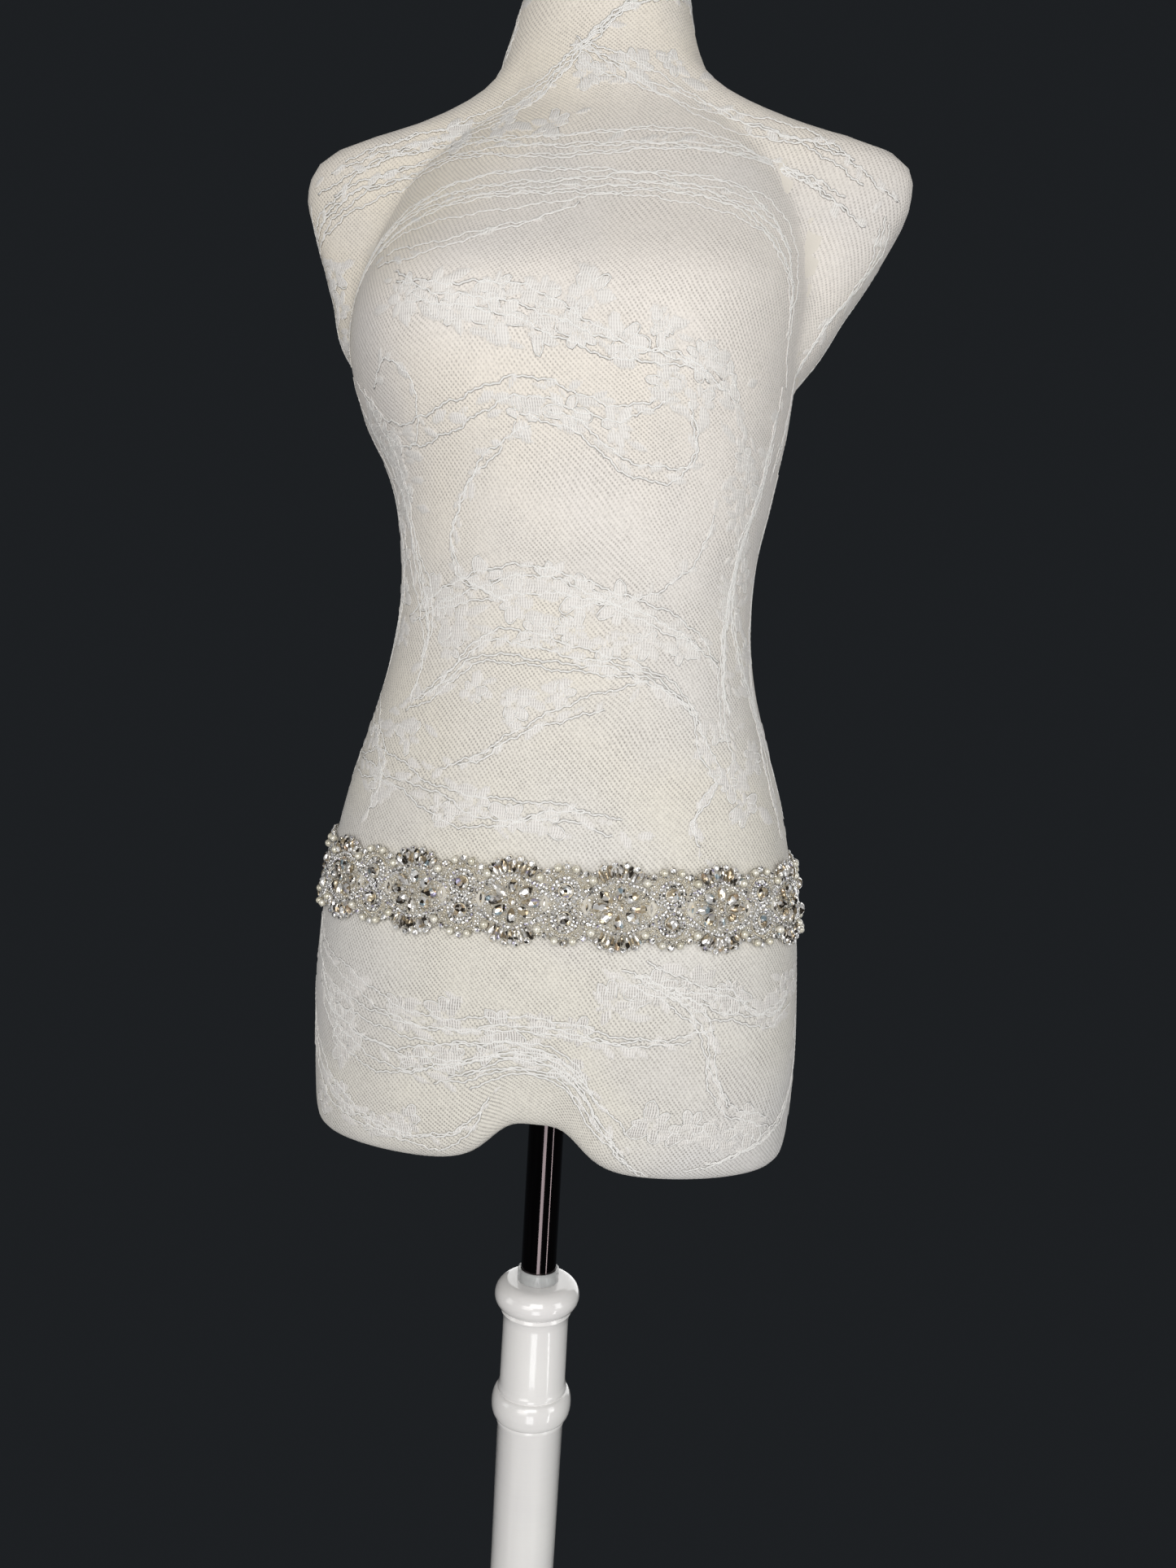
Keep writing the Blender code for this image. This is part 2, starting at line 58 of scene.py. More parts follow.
# Form, in the solids' own sizes
FORM_BOTTOM = 0.8185
FORM_TOP = 1.600
ARCH_HEIGHT = 0.029
ARCH_HALF_WIDTH = 0.031
ARCH_SIDE = 0.003
ARCH_FADE_TOP = 0.930
SQUARENESS = 2.15
THIGH_SQUARENESS = 0.40
LENS_SQUARENESS = 3.2
LENS_FRONT = 0.040
LENS_BACK = 0.052
LENS_BLEND = 0.010
BUST_HEIGHT = 1.335
BUST_SIDE = 0.090
BUST_OUT = 0.034
BUST_WIDTH = 0.056
BUST_RISE = 0.036
BUST_DROP = 0.052
BUST_SPREAD = 4.0
SOCKET_RADIUS = 0.0125
SOCKET_TOP = 0.9003
COVER_WALL = 0.0008
COVER_GRID = (104, 160)
FOAM_GRID = (48, 72)
FOAM_GAP = 0.0006
SIDE_CROWDING = 0.10
LOW_EDGE_TOP = 0.845
NECK_EDGE = 1.590
GIRTH_ROWS = 160
GIRTH_STEPS = 721

# Height, half widths of chest and shoulders, depths to front and back, shift to the left
SECTIONS = np.array((
    (0.8185, 0.1450, 0.0000, 0.0810, 0.0870, 0.0020),
    (0.8205, 0.1525, 0.0000, 0.0870, 0.0940, 0.0020),
    (0.8280, 0.1562, 0.0000, 0.0925, 0.0990, 0.0020),
    (0.8450, 0.1582, 0.0000, 0.0965, 0.1035, 0.0020),
    (0.8800, 0.1602, 0.0000, 0.1010, 0.1100, 0.0015),
    (0.9200, 0.1605, 0.0000, 0.1045, 0.1160, 0.0000),
    (0.9600, 0.1580, 0.0000, 0.1070, 0.1185, 0.0000),
    (1.0000, 0.1525, 0.0000, 0.1065, 0.1150, 0.0000),
    (1.0400, 0.1440, 0.0000, 0.1030, 0.1070, 0.0000),
    (1.0800, 0.1325, 0.0000, 0.0975, 0.0960, 0.0000),
    (1.1200, 0.1210, 0.0000, 0.0915, 0.0860, 0.0000),
    (1.1600, 0.1155, 0.0000, 0.0880, 0.0800, 0.0000),
    (1.2000, 0.1163, 0.0000, 0.0880, 0.0800, 0.0000),
    (1.2400, 0.1235, 0.0200, 0.0905, 0.0850, 0.0000),
    (1.2800, 0.1360, 0.0950, 0.0945, 0.0910, -0.0060),
    (1.3200, 0.1430, 0.1500, 0.0965, 0.0960, -0.0090),
    (1.3600, 0.1450, 0.1710, 0.0950, 0.0985, -0.0040),
    (1.4000, 0.1390, 0.1900, 0.0860, 0.0990, 0.0010),
    (1.4300, 0.1270, 0.1995, 0.0740, 0.0960, 0.0030),
    (1.4520, 0.1100, 0.1870, 0.0620, 0.0900, 0.0055),
    (1.4700, 0.0880, 0.1280, 0.0530, 0.0830, 0.0060),
    (1.4900, 0.0740, 0.0830, 0.0480, 0.0760, 0.0030),
    (1.5200, 0.0620, 0.0500, 0.0450, 0.0690, -0.0015),
    (1.5600, 0.0515, 0.0000, 0.0460, 0.0620, 0.0000),
    (1.5900, 0.0505, 0.0000, 0.0460, 0.0590, 0.0000),
    (1.5975, 0.0500, 0.0000, 0.0430, 0.0545, 0.0000),
    (1.6000, 0.0400, 0.0000, 0.0340, 0.0440, 0.0000),
))

# Sash, in the solids' own sizes
SASH_MIDDLE = 0.988
SASH_SHIFT = -0.012
MEDALLIONS = 13
REPEAT = 0.062
BAND_CLEAR = 0.0006
BAND_WALL = 0.0012
BAND_END = 0.0215
STONE_BASE = BAND_CLEAR + BAND_WALL
EYE_MIDDLE = 0.0192
EYE_HALF_WIDTH = 0.0040
EYE_HALF_HEIGHT = 0.0056

# Layout of the trim, in millimetres and radians, and how far stones may stray from it
MM = 0.001
PLACE_PLAY = 0.14
TURN_PLAY = 0.05
LEAN_PLAY = 0.13
FLOWER_PETALS = 8
FLOWER_REACH = (10.7, 8.4)
CLAW_REACH = (13.6, 11.0)
CLAW_TURN = 0.30
SEED_REACH = (5.0, 4.1)
CHAIN_REACH = 15.2
CHAIN_TURN = 0.56
CORNER_CHAIN = ((9.8, 12.4), (13.9, 9.6), (18.2, 6.8), (21.4, 4.4))
CORNER_ROW = ((12.6, 11.8), (19.8, 8.8))
CORNER_PEARL = (15.6, 14.9)
FAN_DROP_REACH = 20.7
FAN_DROP_TURNS = (-0.56, -0.28, 0.0, 0.28, 0.56)
FAN_SLIM_REACH = 19.3
FAN_ROUND_REACH = 24.6
FAN_SLIM_TURNS = (-0.42, -0.14, 0.14, 0.42)
FAN_END_REACH = 21.6
FAN_END_TURN = 0.74
LINK_STONE_UP = 8.1
LINK_HALOES = ((16, 5.35, 1.0), (19, 7.5, 1.2))
LINK_PEARL = (5.3, 21.0)
LINK_TIP = 22.4
LINK_ARCH_REACH = (9.2, 9.4)
LINK_CORNER = (11.2, 18.4)
MEDALLION_FILL = (1200, 20.5, 25.0)
LINK_FILL = (500, 10.0, 20.0)

# Backing's cut edge, ribbon and knot, in the solids' own sizes
BEAD_PITCH = 0.0013
EDGE_RADIUS = 0.0250
EDGE_LINK = 0.0220
EDGE_CORNER = 0.0196
EDGE_BLEND = (0.0065, 0.0100)
SATIN_WEAVE = 0.0006
SATIN_FLOAT = 0.0004
KNOT_HALF_WIDTH = 0.012
KNOT_HALF_HEIGHT = 0.010
KNOT_DEPTH = 0.010
RIBBON_WIDTH = 0.038
RIBBON_WALL = 0.0012
GATHERED_WIDTH = 0.016
GATHER_DEPTH = 0.0022
RIBBON_LIFT = 0.0008
SATIN_WALL = 0.0006
TOUCH_GAP = 0.0003
KNOT_UNDER = BAND_CLEAR + RIBBON_WALL + GATHER_DEPTH + RIBBON_LIFT + TOUCH_GAP
TAIL_LENGTH = 0.120
TAIL_TOP_WIDTH = 0.009
TAIL_SLANT = 0.012
TAIL_SPREAD = 0.0225
TAIL_FOLD = 0.002
TAIL_CLEAR = 0.0012

# Stand, in the solids' own sizes
BASE_RADIUS = 0.170
BASE_HEIGHT = 0.028
BASE_FOOT_EDGE = 0.004
BASE_TOP_EDGE = 0.006
POLE_TOP = 0.711
POLE_RADIUS = 0.0228
POLE_FOOT_RADIUS = 0.0218
FLANGE_RADIUS = 0.0290
FLANGE_HEIGHT = 0.020
BEAD_RADIUS = 0.0273
BEAD_HEIGHT = 0.022
BEAD_MIDDLE = 0.625
ROD_RADIUS = 0.0120
ROD_TOP = 0.900
ROD_BOTTOM = 0.420
BORE_RADIUS = 0.0125
BORE_BOTTOM = 0.340
COLLAR_WALL = 0.0016
COLLAR_HEIGHT = 0.008
BEVEL = 0.0008
TURNED_STEPS = 96

# Steps out from the pole's radius and up from each ring's edge
BEAD_FOOT = ((-0.0003, -0.004), (0.0007, -0.0012), (0.0009, 0.0004))
BEAD_HEAD = ((0.0009, -0.0004), (0.0006, 0.0014), (-0.0004, 0.0034))
FLANGE_FOOT = ((-0.0005, -0.008), (-0.0001, -0.0035), (0.0012, -0.0012))

# Net, cords and petals of the lace cover
# Heights over which the net turns warmer and lighter: partly the cloth's tone, partly painted light that
# falls off toward the bottom
WARM_LIT_FROM = 1.00
WARM_LIT_TO = 1.28
HOLE_TONE = (156, 151, 146)
NET_PITCH = 0.0023
NET_LEAN = math.radians(40)
WALE_PITCH = 0.00125
RIB_PITCH = 0.0015
CORD_RADIUS = 0.0004
OUTLINE_RADIUS = 0.00032
CORD_STEP = 0.0018
CORD_WAVE = 0.0006
CORD_WAVES = ((0.7, 0.0045, 0.0065), (0.8, 0.009, 0.013), (1.3, 0.022, 0.034))
CORD_OUTLINE = ((2.2, -0.2), (0.6, 1.0), (-0.6, 1.0), (-2.2, -0.2))
CORD_SWELL = 0.25
CORD_SWELL_PITCH = 0.0037
LACE_OUT = 0.00012
LACE_LOWEST = FORM_BOTTOM + 0.004
LACE_HIGHEST = 1.586
CORD_TWIST = 0.0011
PETAL_RISE = 0.00034
PETAL_LENGTH = 0.0145
PETAL_ROWS = 6
PETAL_FRAY = 0.0015
PETAL_RIM = 0.0014

# Motifs placed by length round the form from its front middle, and height:
# place, height, half width, half height, flowers, openness
CLUSTERS = (
    (-0.004, 1.336, 0.040, 0.008, 3, 0.35),
    (0.030, 1.312, 0.070, 0.012, 6, 0.35),
    (0.086, 1.292, 0.030, 0.014, 3, 0.45),
    (-0.070, 1.328, 0.026, 0.008, 3, 0.30),
    (-0.122, 1.244, 0.022, 0.034, 6, 0.60),
    (0.008, 1.266, 0.040, 0.006, 3, 0.30),
    (0.122, 1.222, 0.014, 0.042, 5, 0.60),
    (-0.004, 1.170, 0.052, 0.010, 5, 0.40),
    (0.034, 1.146, 0.056, 0.008, 5, 0.40),
    (-0.070, 1.150, 0.018, 0.024, 3, 0.55),
    (-0.020, 1.108, 0.040, 0.008, 3, 0.40),
    (-0.112, 1.064, 0.030, 0.020, 3, 0.55),
    (-0.028, 1.040, 0.044, 0.008, 4, 0.45),
    (0.120, 1.070, 0.022, 0.030, 4, 0.55),
    (0.086, 0.936, 0.050, 0.010, 4, 0.90),
    (0.168, 0.926, 0.024, 0.014, 3, 0.80),
    (-0.066, 0.910, 0.030, 0.006, 2, 1.00),
    (0.008, 0.912, 0.034, 0.005, 3, 1.00),
    (-0.024, 0.884, 0.060, 0.007, 5, 1.00),
    (-0.142, 0.902, 0.022, 0.026, 4, 0.85),
    (-0.120, 0.842, 0.050, 0.008, 4, 0.85),
    (0.112, 0.852, 0.044, 0.008, 4, 0.90),
    (0.020, 1.486, 0.040, 0.014, 3, 0.40),
    (-0.050, 1.560, 0.030, 0.016, 3, 0.40),
    (0.060, 1.545, 0.030, 0.010, 2, 0.40),
    (-0.060, 1.448, 0.050, 0.006, 3, 0.35),
    (-0.196, 1.180, 0.016, 0.050, 4, 0.55),
    (0.196, 1.130, 0.016, 0.050, 4, 0.55),
    (-0.206, 1.040, 0.016, 0.024, 3, 0.60),
    (0.206, 0.880, 0.016, 0.030, 3, 0.80),
    (-0.206, 0.900, 0.016, 0.034, 3, 0.80),
    (-0.196, 1.350, 0.014, 0.034, 3, 0.40),
)
# Strands, spread, density of scraps, route of places and heights
BUNDLES = (
    (6, 0.009, 0.7, ((-0.216, 1.392), (-0.160, 1.424), (-0.090, 1.436), (-0.020, 1.430), (0.060, 1.437),
                     (0.130, 1.430), (0.204, 1.392))),
    (5, 0.007, 1.0, ((-0.205, 1.426), (-0.140, 1.446), (-0.085, 1.458), (-0.042, 1.474), (-0.005, 1.505),
                     (0.030, 1.535), (0.090, 1.556))),
    (4, 0.006, 0.9, ((-0.016, 1.505), (0.035, 1.478), (0.080, 1.463), (0.140, 1.450), (0.200, 1.424))),
    (8, 0.011, 0.4, ((-0.172, 1.315), (-0.150, 1.364), (-0.095, 1.392), (-0.020, 1.402), (0.050, 1.406),
                     (0.110, 1.396), (0.152, 1.360), (0.168, 1.300))),
    (2, 0.003, 0.4, ((-0.135, 1.360), (-0.080, 1.360), (-0.030, 1.373), (0.020, 1.398))),
    (3, 0.005, 0.8, ((0.186, 1.425), (0.205, 1.385), (0.196, 1.335), (0.180, 1.290), (0.150, 1.250))),
    (3, 0.005, 0.8, ((-0.205, 1.415), (-0.215, 1.370), (-0.200, 1.320), (-0.180, 1.280))),
    (3, 0.007, 1.2, ((-0.110, 1.575), (-0.060, 1.560), (-0.010, 1.548), (0.040, 1.556), (0.100, 1.545))),
    (2, 0.004, 0.9, ((-0.080, 1.500), (-0.060, 1.525), (-0.070, 1.555))),
    (3, 0.006, 1.5, ((-0.115, 1.346), (-0.070, 1.332), (-0.020, 1.328), (0.040, 1.304), (0.090, 1.298),
                     (0.130, 1.262))),
    (2, 0.006, 1.2, ((-0.150, 1.288), (-0.110, 1.262), (-0.060, 1.268), (-0.010, 1.284), (0.040, 1.274),
                     (0.075, 1.284))),
    (2, 0.003, 1.4, ((-0.040, 1.276), (0.010, 1.262), (0.036, 1.244), (0.066, 1.240), (0.082, 1.256),
                     (0.078, 1.288))),
    (5, 0.013, 1.5, ((-0.185, 1.300), (-0.150, 1.270), (-0.120, 1.235), (-0.105, 1.190), (-0.084, 1.148),
                     (-0.092, 1.106))),
    (1, 0.000, 1.0, ((-0.128, 1.286), (-0.104, 1.300), (-0.086, 1.288), (-0.088, 1.262), (-0.112, 1.248))),
    (2, 0.002, 1.8, ((-0.012, 1.262), (-0.050, 1.240), (-0.068, 1.205), (-0.060, 1.178), (-0.030, 1.164))),
    (1, 0.000, 1.0, ((0.000, 1.160), (0.050, 1.168), (0.085, 1.194), (0.098, 1.236))),
    (5, 0.012, 1.6, ((0.165, 1.300), (0.140, 1.250), (0.122, 1.205), (0.112, 1.160), (0.112, 1.110),
                     (0.128, 1.060))),
    (3, 0.008, 0.8, ((0.188, 1.262), (0.160, 1.200), (0.148, 1.140), (0.155, 1.080), (0.178, 1.020))),
    (3, 0.007, 1.7, ((-0.110, 1.152), (-0.060, 1.168), (-0.010, 1.176), (0.045, 1.160), (0.090, 1.142),
                     (0.122, 1.118))),
    (4, 0.007, 1.7, ((-0.120, 1.092), (-0.075, 1.108), (-0.040, 1.134), (0.010, 1.132), (0.050, 1.124),
                     (0.085, 1.104), (0.096, 1.080))),
    (2, 0.004, 1.4, ((0.062, 1.120), (0.020, 1.102), (-0.015, 1.086), (-0.045, 1.066), (-0.080, 1.060))),
    (2, 0.005, 1.0, ((-0.160, 1.104), (-0.130, 1.086), (-0.110, 1.060), (-0.122, 1.026))),
    (3, 0.007, 1.5, ((-0.150, 1.062), (-0.110, 1.058), (-0.070, 1.046), (-0.030, 1.036), (0.020, 1.040),
                     (0.060, 1.028))),
    (2, 0.004, 1.0, ((0.085, 1.092), (0.108, 1.066), (0.092, 1.040), (0.102, 1.014))),
    (3, 0.006, 1.2, ((-0.180, 0.972), (-0.162, 0.940), (-0.120, 0.922), (-0.066, 0.908), (0.000, 0.910),
                     (0.060, 0.906), (0.112, 0.914))),
    (5, 0.009, 0.9, ((-0.168, 0.930), (-0.140, 0.902), (-0.090, 0.886), (-0.040, 0.890), (0.010, 0.886),
                     (0.045, 0.862), (0.076, 0.832))),
    (4, 0.006, 0.7, ((-0.064, 0.874), (-0.020, 0.872), (0.020, 0.868), (0.050, 0.846), (0.082, 0.820))),
    (3, 0.005, 1.5, ((0.036, 0.954), (0.070, 0.942), (0.104, 0.920), (0.112, 0.890), (0.126, 0.866),
                     (0.162, 0.850))),
    (4, 0.007, 1.4, ((0.060, 0.948), (0.110, 0.934), (0.150, 0.922), (0.205, 0.938))),
    (3, 0.006, 1.1, ((-0.200, 0.930), (-0.172, 0.880), (-0.140, 0.852), (-0.090, 0.838), (-0.050, 0.838),
                     (-0.020, 0.856))),
    (3, 0.004, 0.3, ((0.216, 0.966), (0.208, 0.906), (0.184, 0.862), (0.146, 0.838), (0.090, 0.826))),
    (3, 0.007, 1.0, ((0.205, 1.230), (0.200, 1.160), (0.196, 1.090), (0.206, 1.030))),
    (3, 0.007, 1.0, ((-0.190, 1.260), (-0.196, 1.180), (-0.190, 1.110), (-0.206, 1.040))),
    (3, 0.006, 0.8, ((-0.215, 0.950), (-0.206, 0.890), (-0.190, 0.840))),
)


def smooth_step(low, high, value):
    share = np.clip((np.asarray(value, dtype=float) - low) / (high - low), 0.0, 1.0)
    return share * share * (3.0 - 2.0 * share)


def section_at(height):
    """Columns of SECTIONS after the height, on a smooth curve through the rows."""
    heights = SECTIONS[:, 0]
    index = np.clip(np.searchsorted(heights, height, side="right") - 1, 0, len(heights) - 2)
    low, high = SECTIONS[index], SECTIONS[index + 1]
    before = SECTIONS[np.maximum(index - 1, 0)]
    after = SECTIONS[np.minimum(index + 2, len(heights) - 1)]
    span = (high - low)[..., :1]
    share = np.clip((height[..., None] - low[..., :1]) / span, 0.0, 1.0)
    slope_low = (high - before) / (high - before)[..., :1] * span
    slope_high = (after - low) / (after - low)[..., :1] * span
    square, cube = share ** 2, share ** 3
    values = ((2 * cube - 3 * square + 1) * low + (cube - 2 * square + share) * slope_low
              + (3 * square - 2 * cube) * high + (cube - square) * slope_high)
    return [values[..., column] for column in range(1, SECTIONS.shape[1])]


def rounded(cosine, sine, width, depth, power=SQUARENESS):
    width = np.maximum(width, 0.001)
    return ((np.abs(cosine) / width) ** power + (np.abs(sine) / depth) ** power) ** (-1.0 / power)


def arch_lift(side, height):
    opening = 1.0 / (1.0 + ((side - ARCH_SIDE) / ARCH_HALF_WIDTH) ** 4)
    return ARCH_HEIGHT * opening * (1.0 - smooth_step(FORM_BOTTOM, ARCH_FADE_TOP, height))


def bust_at(side, height):
    spread = np.where(height > BUST_HEIGHT, BUST_RISE, BUST_DROP)
    fall = np.exp(-0.5 * ((height - BUST_HEIGHT) / spread) ** 2)
    lobes = sum(np.exp(-0.5 * ((side - sign * BUST_SIDE) / BUST_WIDTH) ** 2) for sign in (-1, 1))
    return BUST_OUT * fall * lobes


def form_points(angle, height):
    """Points on the form's skin at angles round the axis, -90 degrees at the front."""
    angle, height = np.broadcast_arrays(np.asarray(angle, dtype=float), np.asarray(height, dtype=float))
    chest, shoulder, front, back, shift = section_at(height)
    cosine, sine = np.cos(angle), np.sin(angle)
    legs = 1.0 - smooth_step(FORM_BOTTOM, ARCH_FADE_TOP, height)
    depth = np.where(sine < 0, front, back)
    radius = rounded(cosine, sine, chest, depth, SQUARENESS + THIGH_SQUARENESS * legs)
    lens = rounded(cosine, sine, shoulder, np.where(sine < 0, LENS_FRONT, LENS_BACK), LENS_SQUARENESS)
    blended = 0.5 * (radius + lens + np.hypot(radius - lens, LENS_BLEND)) - 0.5 * LENS_BLEND
    radius = np.where(shoulder > 0.03, np.maximum(radius, blended), radius)
    side = radius * cosine
    swell = np.maximum(-sine, 0.0) * bust_at(side, height)
    moved = side * (1.0 + BUST_SPREAD * swell) + shift
    return np.stack([moved, radius * sine - swell, height + arch_lift(side, height)], axis=-1)


def form_normals(angle, height):
    step = 0.002
    round_way = form_points(angle + step, height) - form_points(angle - step, height)
    up_way = form_points(angle, height + step) - form_points(angle, height - step)
    normal = np.cross(round_way, up_way)
    return normal / np.linalg.norm(normal, axis=-1, keepdims=True)


def measure_girths():
    """For each height, the girth and the angle at even shares of it, from the back round the front."""
    heights = np.linspace(FORM_BOTTOM, FORM_TOP - 0.003, GIRTH_ROWS)
    angles = np.linspace(-1.5 * math.pi, 0.5 * math.pi, GIRTH_STEPS)
    points = form_points(angles[None, :], heights[:, None])
    steps = np.linalg.norm(np.diff(points, axis=1), axis=2)
    lengths = np.concatenate([np.zeros((len(heights), 1)), np.cumsum(steps, axis=1)], axis=1)
    shares = np.linspace(0.0, 1.0, GIRTH_STEPS)
    table = np.array([np.interp(shares, row / row[-1], angles) for row in lengths])
    return heights, lengths[:, -1], table


GIRTH_HEIGHTS, GIRTHS, GIRTH_ANGLES = measure_girths()


def angle_round(along, height):
    """Angle of a place that lies this far round the form from its front middle, at a height."""
    along, height = np.broadcast_arrays(np.asarray(along, dtype=float), np.asarray(height, dtype=float))
    share = 0.5 + along / np.interp(height, GIRTH_HEIGHTS, GIRTHS)
    turns = np.floor(share)
    share = share - turns
    row = np.interp(height, GIRTH_HEIGHTS, np.arange(len(GIRTH_HEIGHTS)))
    low = np.clip(row.astype(int), 0, len(GIRTH_HEIGHTS) - 2)
    column = share * (GIRTH_ANGLES.shape[1] - 1)
    left = np.clip(column.astype(int), 0, GIRTH_ANGLES.shape[1] - 2)
    up, right = row - low, column - left
    below = GIRTH_ANGLES[low, left] * (1 - right) + GIRTH_ANGLES[low, left + 1] * right
    above = GIRTH_ANGLES[low + 1, left] * (1 - right) + GIRTH_ANGLES[low + 1, left + 1] * right
    return below * (1 - up) + above * up + turns * 2.0 * math.pi


def on_form(along, height, out=0.0):
    """Points on the cover by length round the form and height, moved out."""
    angle = angle_round(along, height)
    out = np.asarray(out, dtype=float)
    return form_points(angle, height) + out[..., None] * form_normals(angle, height)


HIP_GIRTH = float(np.interp(SASH_MIDDLE, GIRTH_HEIGHTS, GIRTHS))


def on_sash(along, up, out):
    """Points of the sash: along its length, up from its middle line, out from the form."""
    along, up, out = np.broadcast_arrays(*(np.asarray(value, dtype=float) for value in (along, up, out)))
    angle = angle_round(along + SASH_SHIFT, np.full(along.shape, SASH_MIDDLE))
    height = SASH_MIDDLE + up
    return form_points(angle, height) + out[..., None] * form_normals(angle, height)


class Wire:
    """Socket of a node tree that takes part in sums."""

    def __init__(self, tree, socket):
        self.tree = tree
        self.socket = socket

    def math(self, operation, *others):
        node = self.tree.nodes.new("ShaderNodeMath")
        node.operation = operation
        for place, value in zip(node.inputs, (self, *others)):
            join(self.tree, value, place)
        return Wire(self.tree, node.outputs[0])

    def __add__(self, other):
        return self.math("ADD", other)

    def __sub__(self, other):
        return self.math("SUBTRACT", other)

    def __mul__(self, other):
        return self.math("MULTIPLY", other)

    def __truediv__(self, other):
        return self.math("DIVIDE", other)

    __radd__ = __add__
    __rmul__ = __mul__

    def __rsub__(self, other):
        return (self * -1.0).math("ADD", other)

    def sine(self):
        return self.math("SINE")

    def wave(self, pitch):
        """Sine that repeats at this pitch."""
        return (self * (2.0 * math.pi / pitch)).sine()

    def size(self):
        return self.math("ABSOLUTE")

    def over(self, low, high):
        """0 below low, 1 above high, even between."""
        node = self.tree.nodes.new("ShaderNodeMapRange")
        join(self.tree, self, node.inputs["Value"])
        node.inputs["From Min"].default_value = low
        node.inputs["From Max"].default_value = high
        return Wire(self.tree, node.outputs["Result"])


def join(tree, value, place):
    if isinstance(value, Wire):
        tree.links.new(value.socket, place)
    else:
        place.default_value = value


class Finish:
    """Material with one Principled shader, whose even values are set on its own sockets."""

    def __init__(self, name, colour, roughness, **sockets):
        self.material = bpy.data.materials.new(name)
        self.material.use_nodes = True
        self.tree = self.material.node_tree
        self.shader = self.tree.nodes["Principled BSDF"]
        self.shader.inputs["Base Color"].default_value = colour
        self.shader.inputs["Roughness"].default_value = roughness
        for key, value in sockets.items():
            self.shader.inputs[key.replace("_", " ").title().replace("Ior", "IOR")].default_value = value

    def node(self, kind, settings=None, sockets=None, output=0):
        node = self.tree.nodes.new(kind)
        for key, value in (settings or {}).items():
            if key == "stops":
                ramp = node.color_ramp
                while len(ramp.elements) < len(value):
                    ramp.elements.new(1.0)
                for element, (place, colour) in zip(ramp.elements, value):
                    element.position = place
                    element.color = colour
            elif key == "steps":
                node.color_ramp.interpolation = value
            else:
                setattr(node, key, value)
        for key, value in (sockets or {}).items():
            join(self.tree, value, node.inputs[key])
        return Wire(self.tree, node.outputs[output])

    def outlet(self, wire, name):
        """Another output of the node that a wire comes from."""
        return Wire(self.tree, wire.socket.node.outputs[name])

    def feed(self, key, value):
        join(self.tree, value, self.shader.inputs[key])

    def place(self):
        return self.node("ShaderNodeTexCoord", output="Object")

    def cloth_axes(self, name="cloth"):
        """The piece's own map, in metres along and across."""
        flat = self.node("ShaderNodeUVMap", {"uv_map": name})
        split = self.node("ShaderNodeSeparateXYZ", sockets={"Vector": flat})
        return split, self.outlet(split, "Y")

    def noise(self, scale, detail=2.0, where=None):
        return self.node("ShaderNodeTexNoise", sockets={
            "Vector": where or self.place(), "Scale": scale, "Detail": detail}, output="Fac")

    def cells(self, size, randomness, output="Color"):
        """Voronoi cells of about this size."""
        return self.node("ShaderNodeTexVoronoi", {"feature": "F1"}, {
            "Vector": self.place(), "Scale": 1.0 / size, "Randomness": randomness}, output)

    def ramp(self, stops, share):
        return self.node("ShaderNodeValToRGB", {"stops": stops, "steps": "CONSTANT"}, {"Fac": share})

    def vector(self, operation, sockets):
        return self.node("ShaderNodeVectorMath", {"operation": operation}, sockets)

    def blend(self, share, first, second):
        return self.node("ShaderNodeMix", {"data_type": "RGBA"}, {0: share, 6: first, 7: second}, output=2)

    def bump(self, height, distance, strength=1.0):
        self.feed("Normal", self.node("ShaderNodeBump", sockets={
            "Height": height, "Distance": distance, "Strength": strength}))


def paint(*colour):
    """Colour socket's value from red, green and blue out of 255, as they look on a screen."""
    return (*(((part / 255 + 0.055) / 1.055) ** 2.4 for part in colour), 1.0)


def net_tone(cloth):
    """Colour of the net between its holes: warmer and lighter over the chest, with soft patches; the darker,
    greyer tones low down are partly the cloth's own and partly painted shade for the light falling off toward
    the bottom.
    """
    parts = cloth.node("ShaderNodeSeparateXYZ", sockets={"Vector": cloth.place()})
    warm_lit_upper = cloth.outlet(parts, "Z").over(WARM_LIT_FROM, WARM_LIT_TO)
    warm = cloth.noise(5.5, 1.5).over(0.44, 0.62)
    cool = cloth.noise(13.0, 1.0).over(0.52, 0.70)
    # Lower tones darker than the upper ones: painted shade where the light falls off toward the bottom, with
    # the cloth's own greyer tone.
    lower = cloth.blend(warm, paint(224, 222, 219), paint(228, 224, 214))
    plain = cloth.blend(warm, paint(235, 229, 222), paint(240, 232, 218))
    plain = cloth.blend(warm_lit_upper, lower, plain)
    return cloth.blend(cool * 0.4, plain, paint(216, 213, 211)), warm_lit_upper


def net_holes(cloth, round_way, up_way, warm_lit_upper):
    """Slanting rows of shadowed holes, slacker in places, stronger low down."""
    sway = cloth.noise(9.0, 1.0) * 0.026 + cloth.noise(45.0, 1.0) * 0.0022
    lean = (math.cos(NET_LEAN), math.sin(NET_LEAN))
    rows = (round_way * lean[0] + up_way * lean[1] + sway).wave(NET_PITCH)
    ties = (up_way * lean[0] - round_way * lean[1] + sway).wave(NET_PITCH * 0.8)
    wales = round_way.wave(WALE_PITCH)
    slack = cloth.noise(38.0, 2.0).over(0.30, 0.62) * 0.5 + 0.5
    holes = rows.over(-0.3, 0.9) * (ties.over(-0.6, 0.6) * 0.85 + 0.15) * (wales.over(-0.8, 0.6) * 0.3 + 0.7)
    grain = cloth.noise(560.0, 2.0).over(0.42, 0.72)
    return holes * (warm_lit_upper * -0.18 + 0.80) * slack + grain * (warm_lit_upper * -0.06 + 0.26)


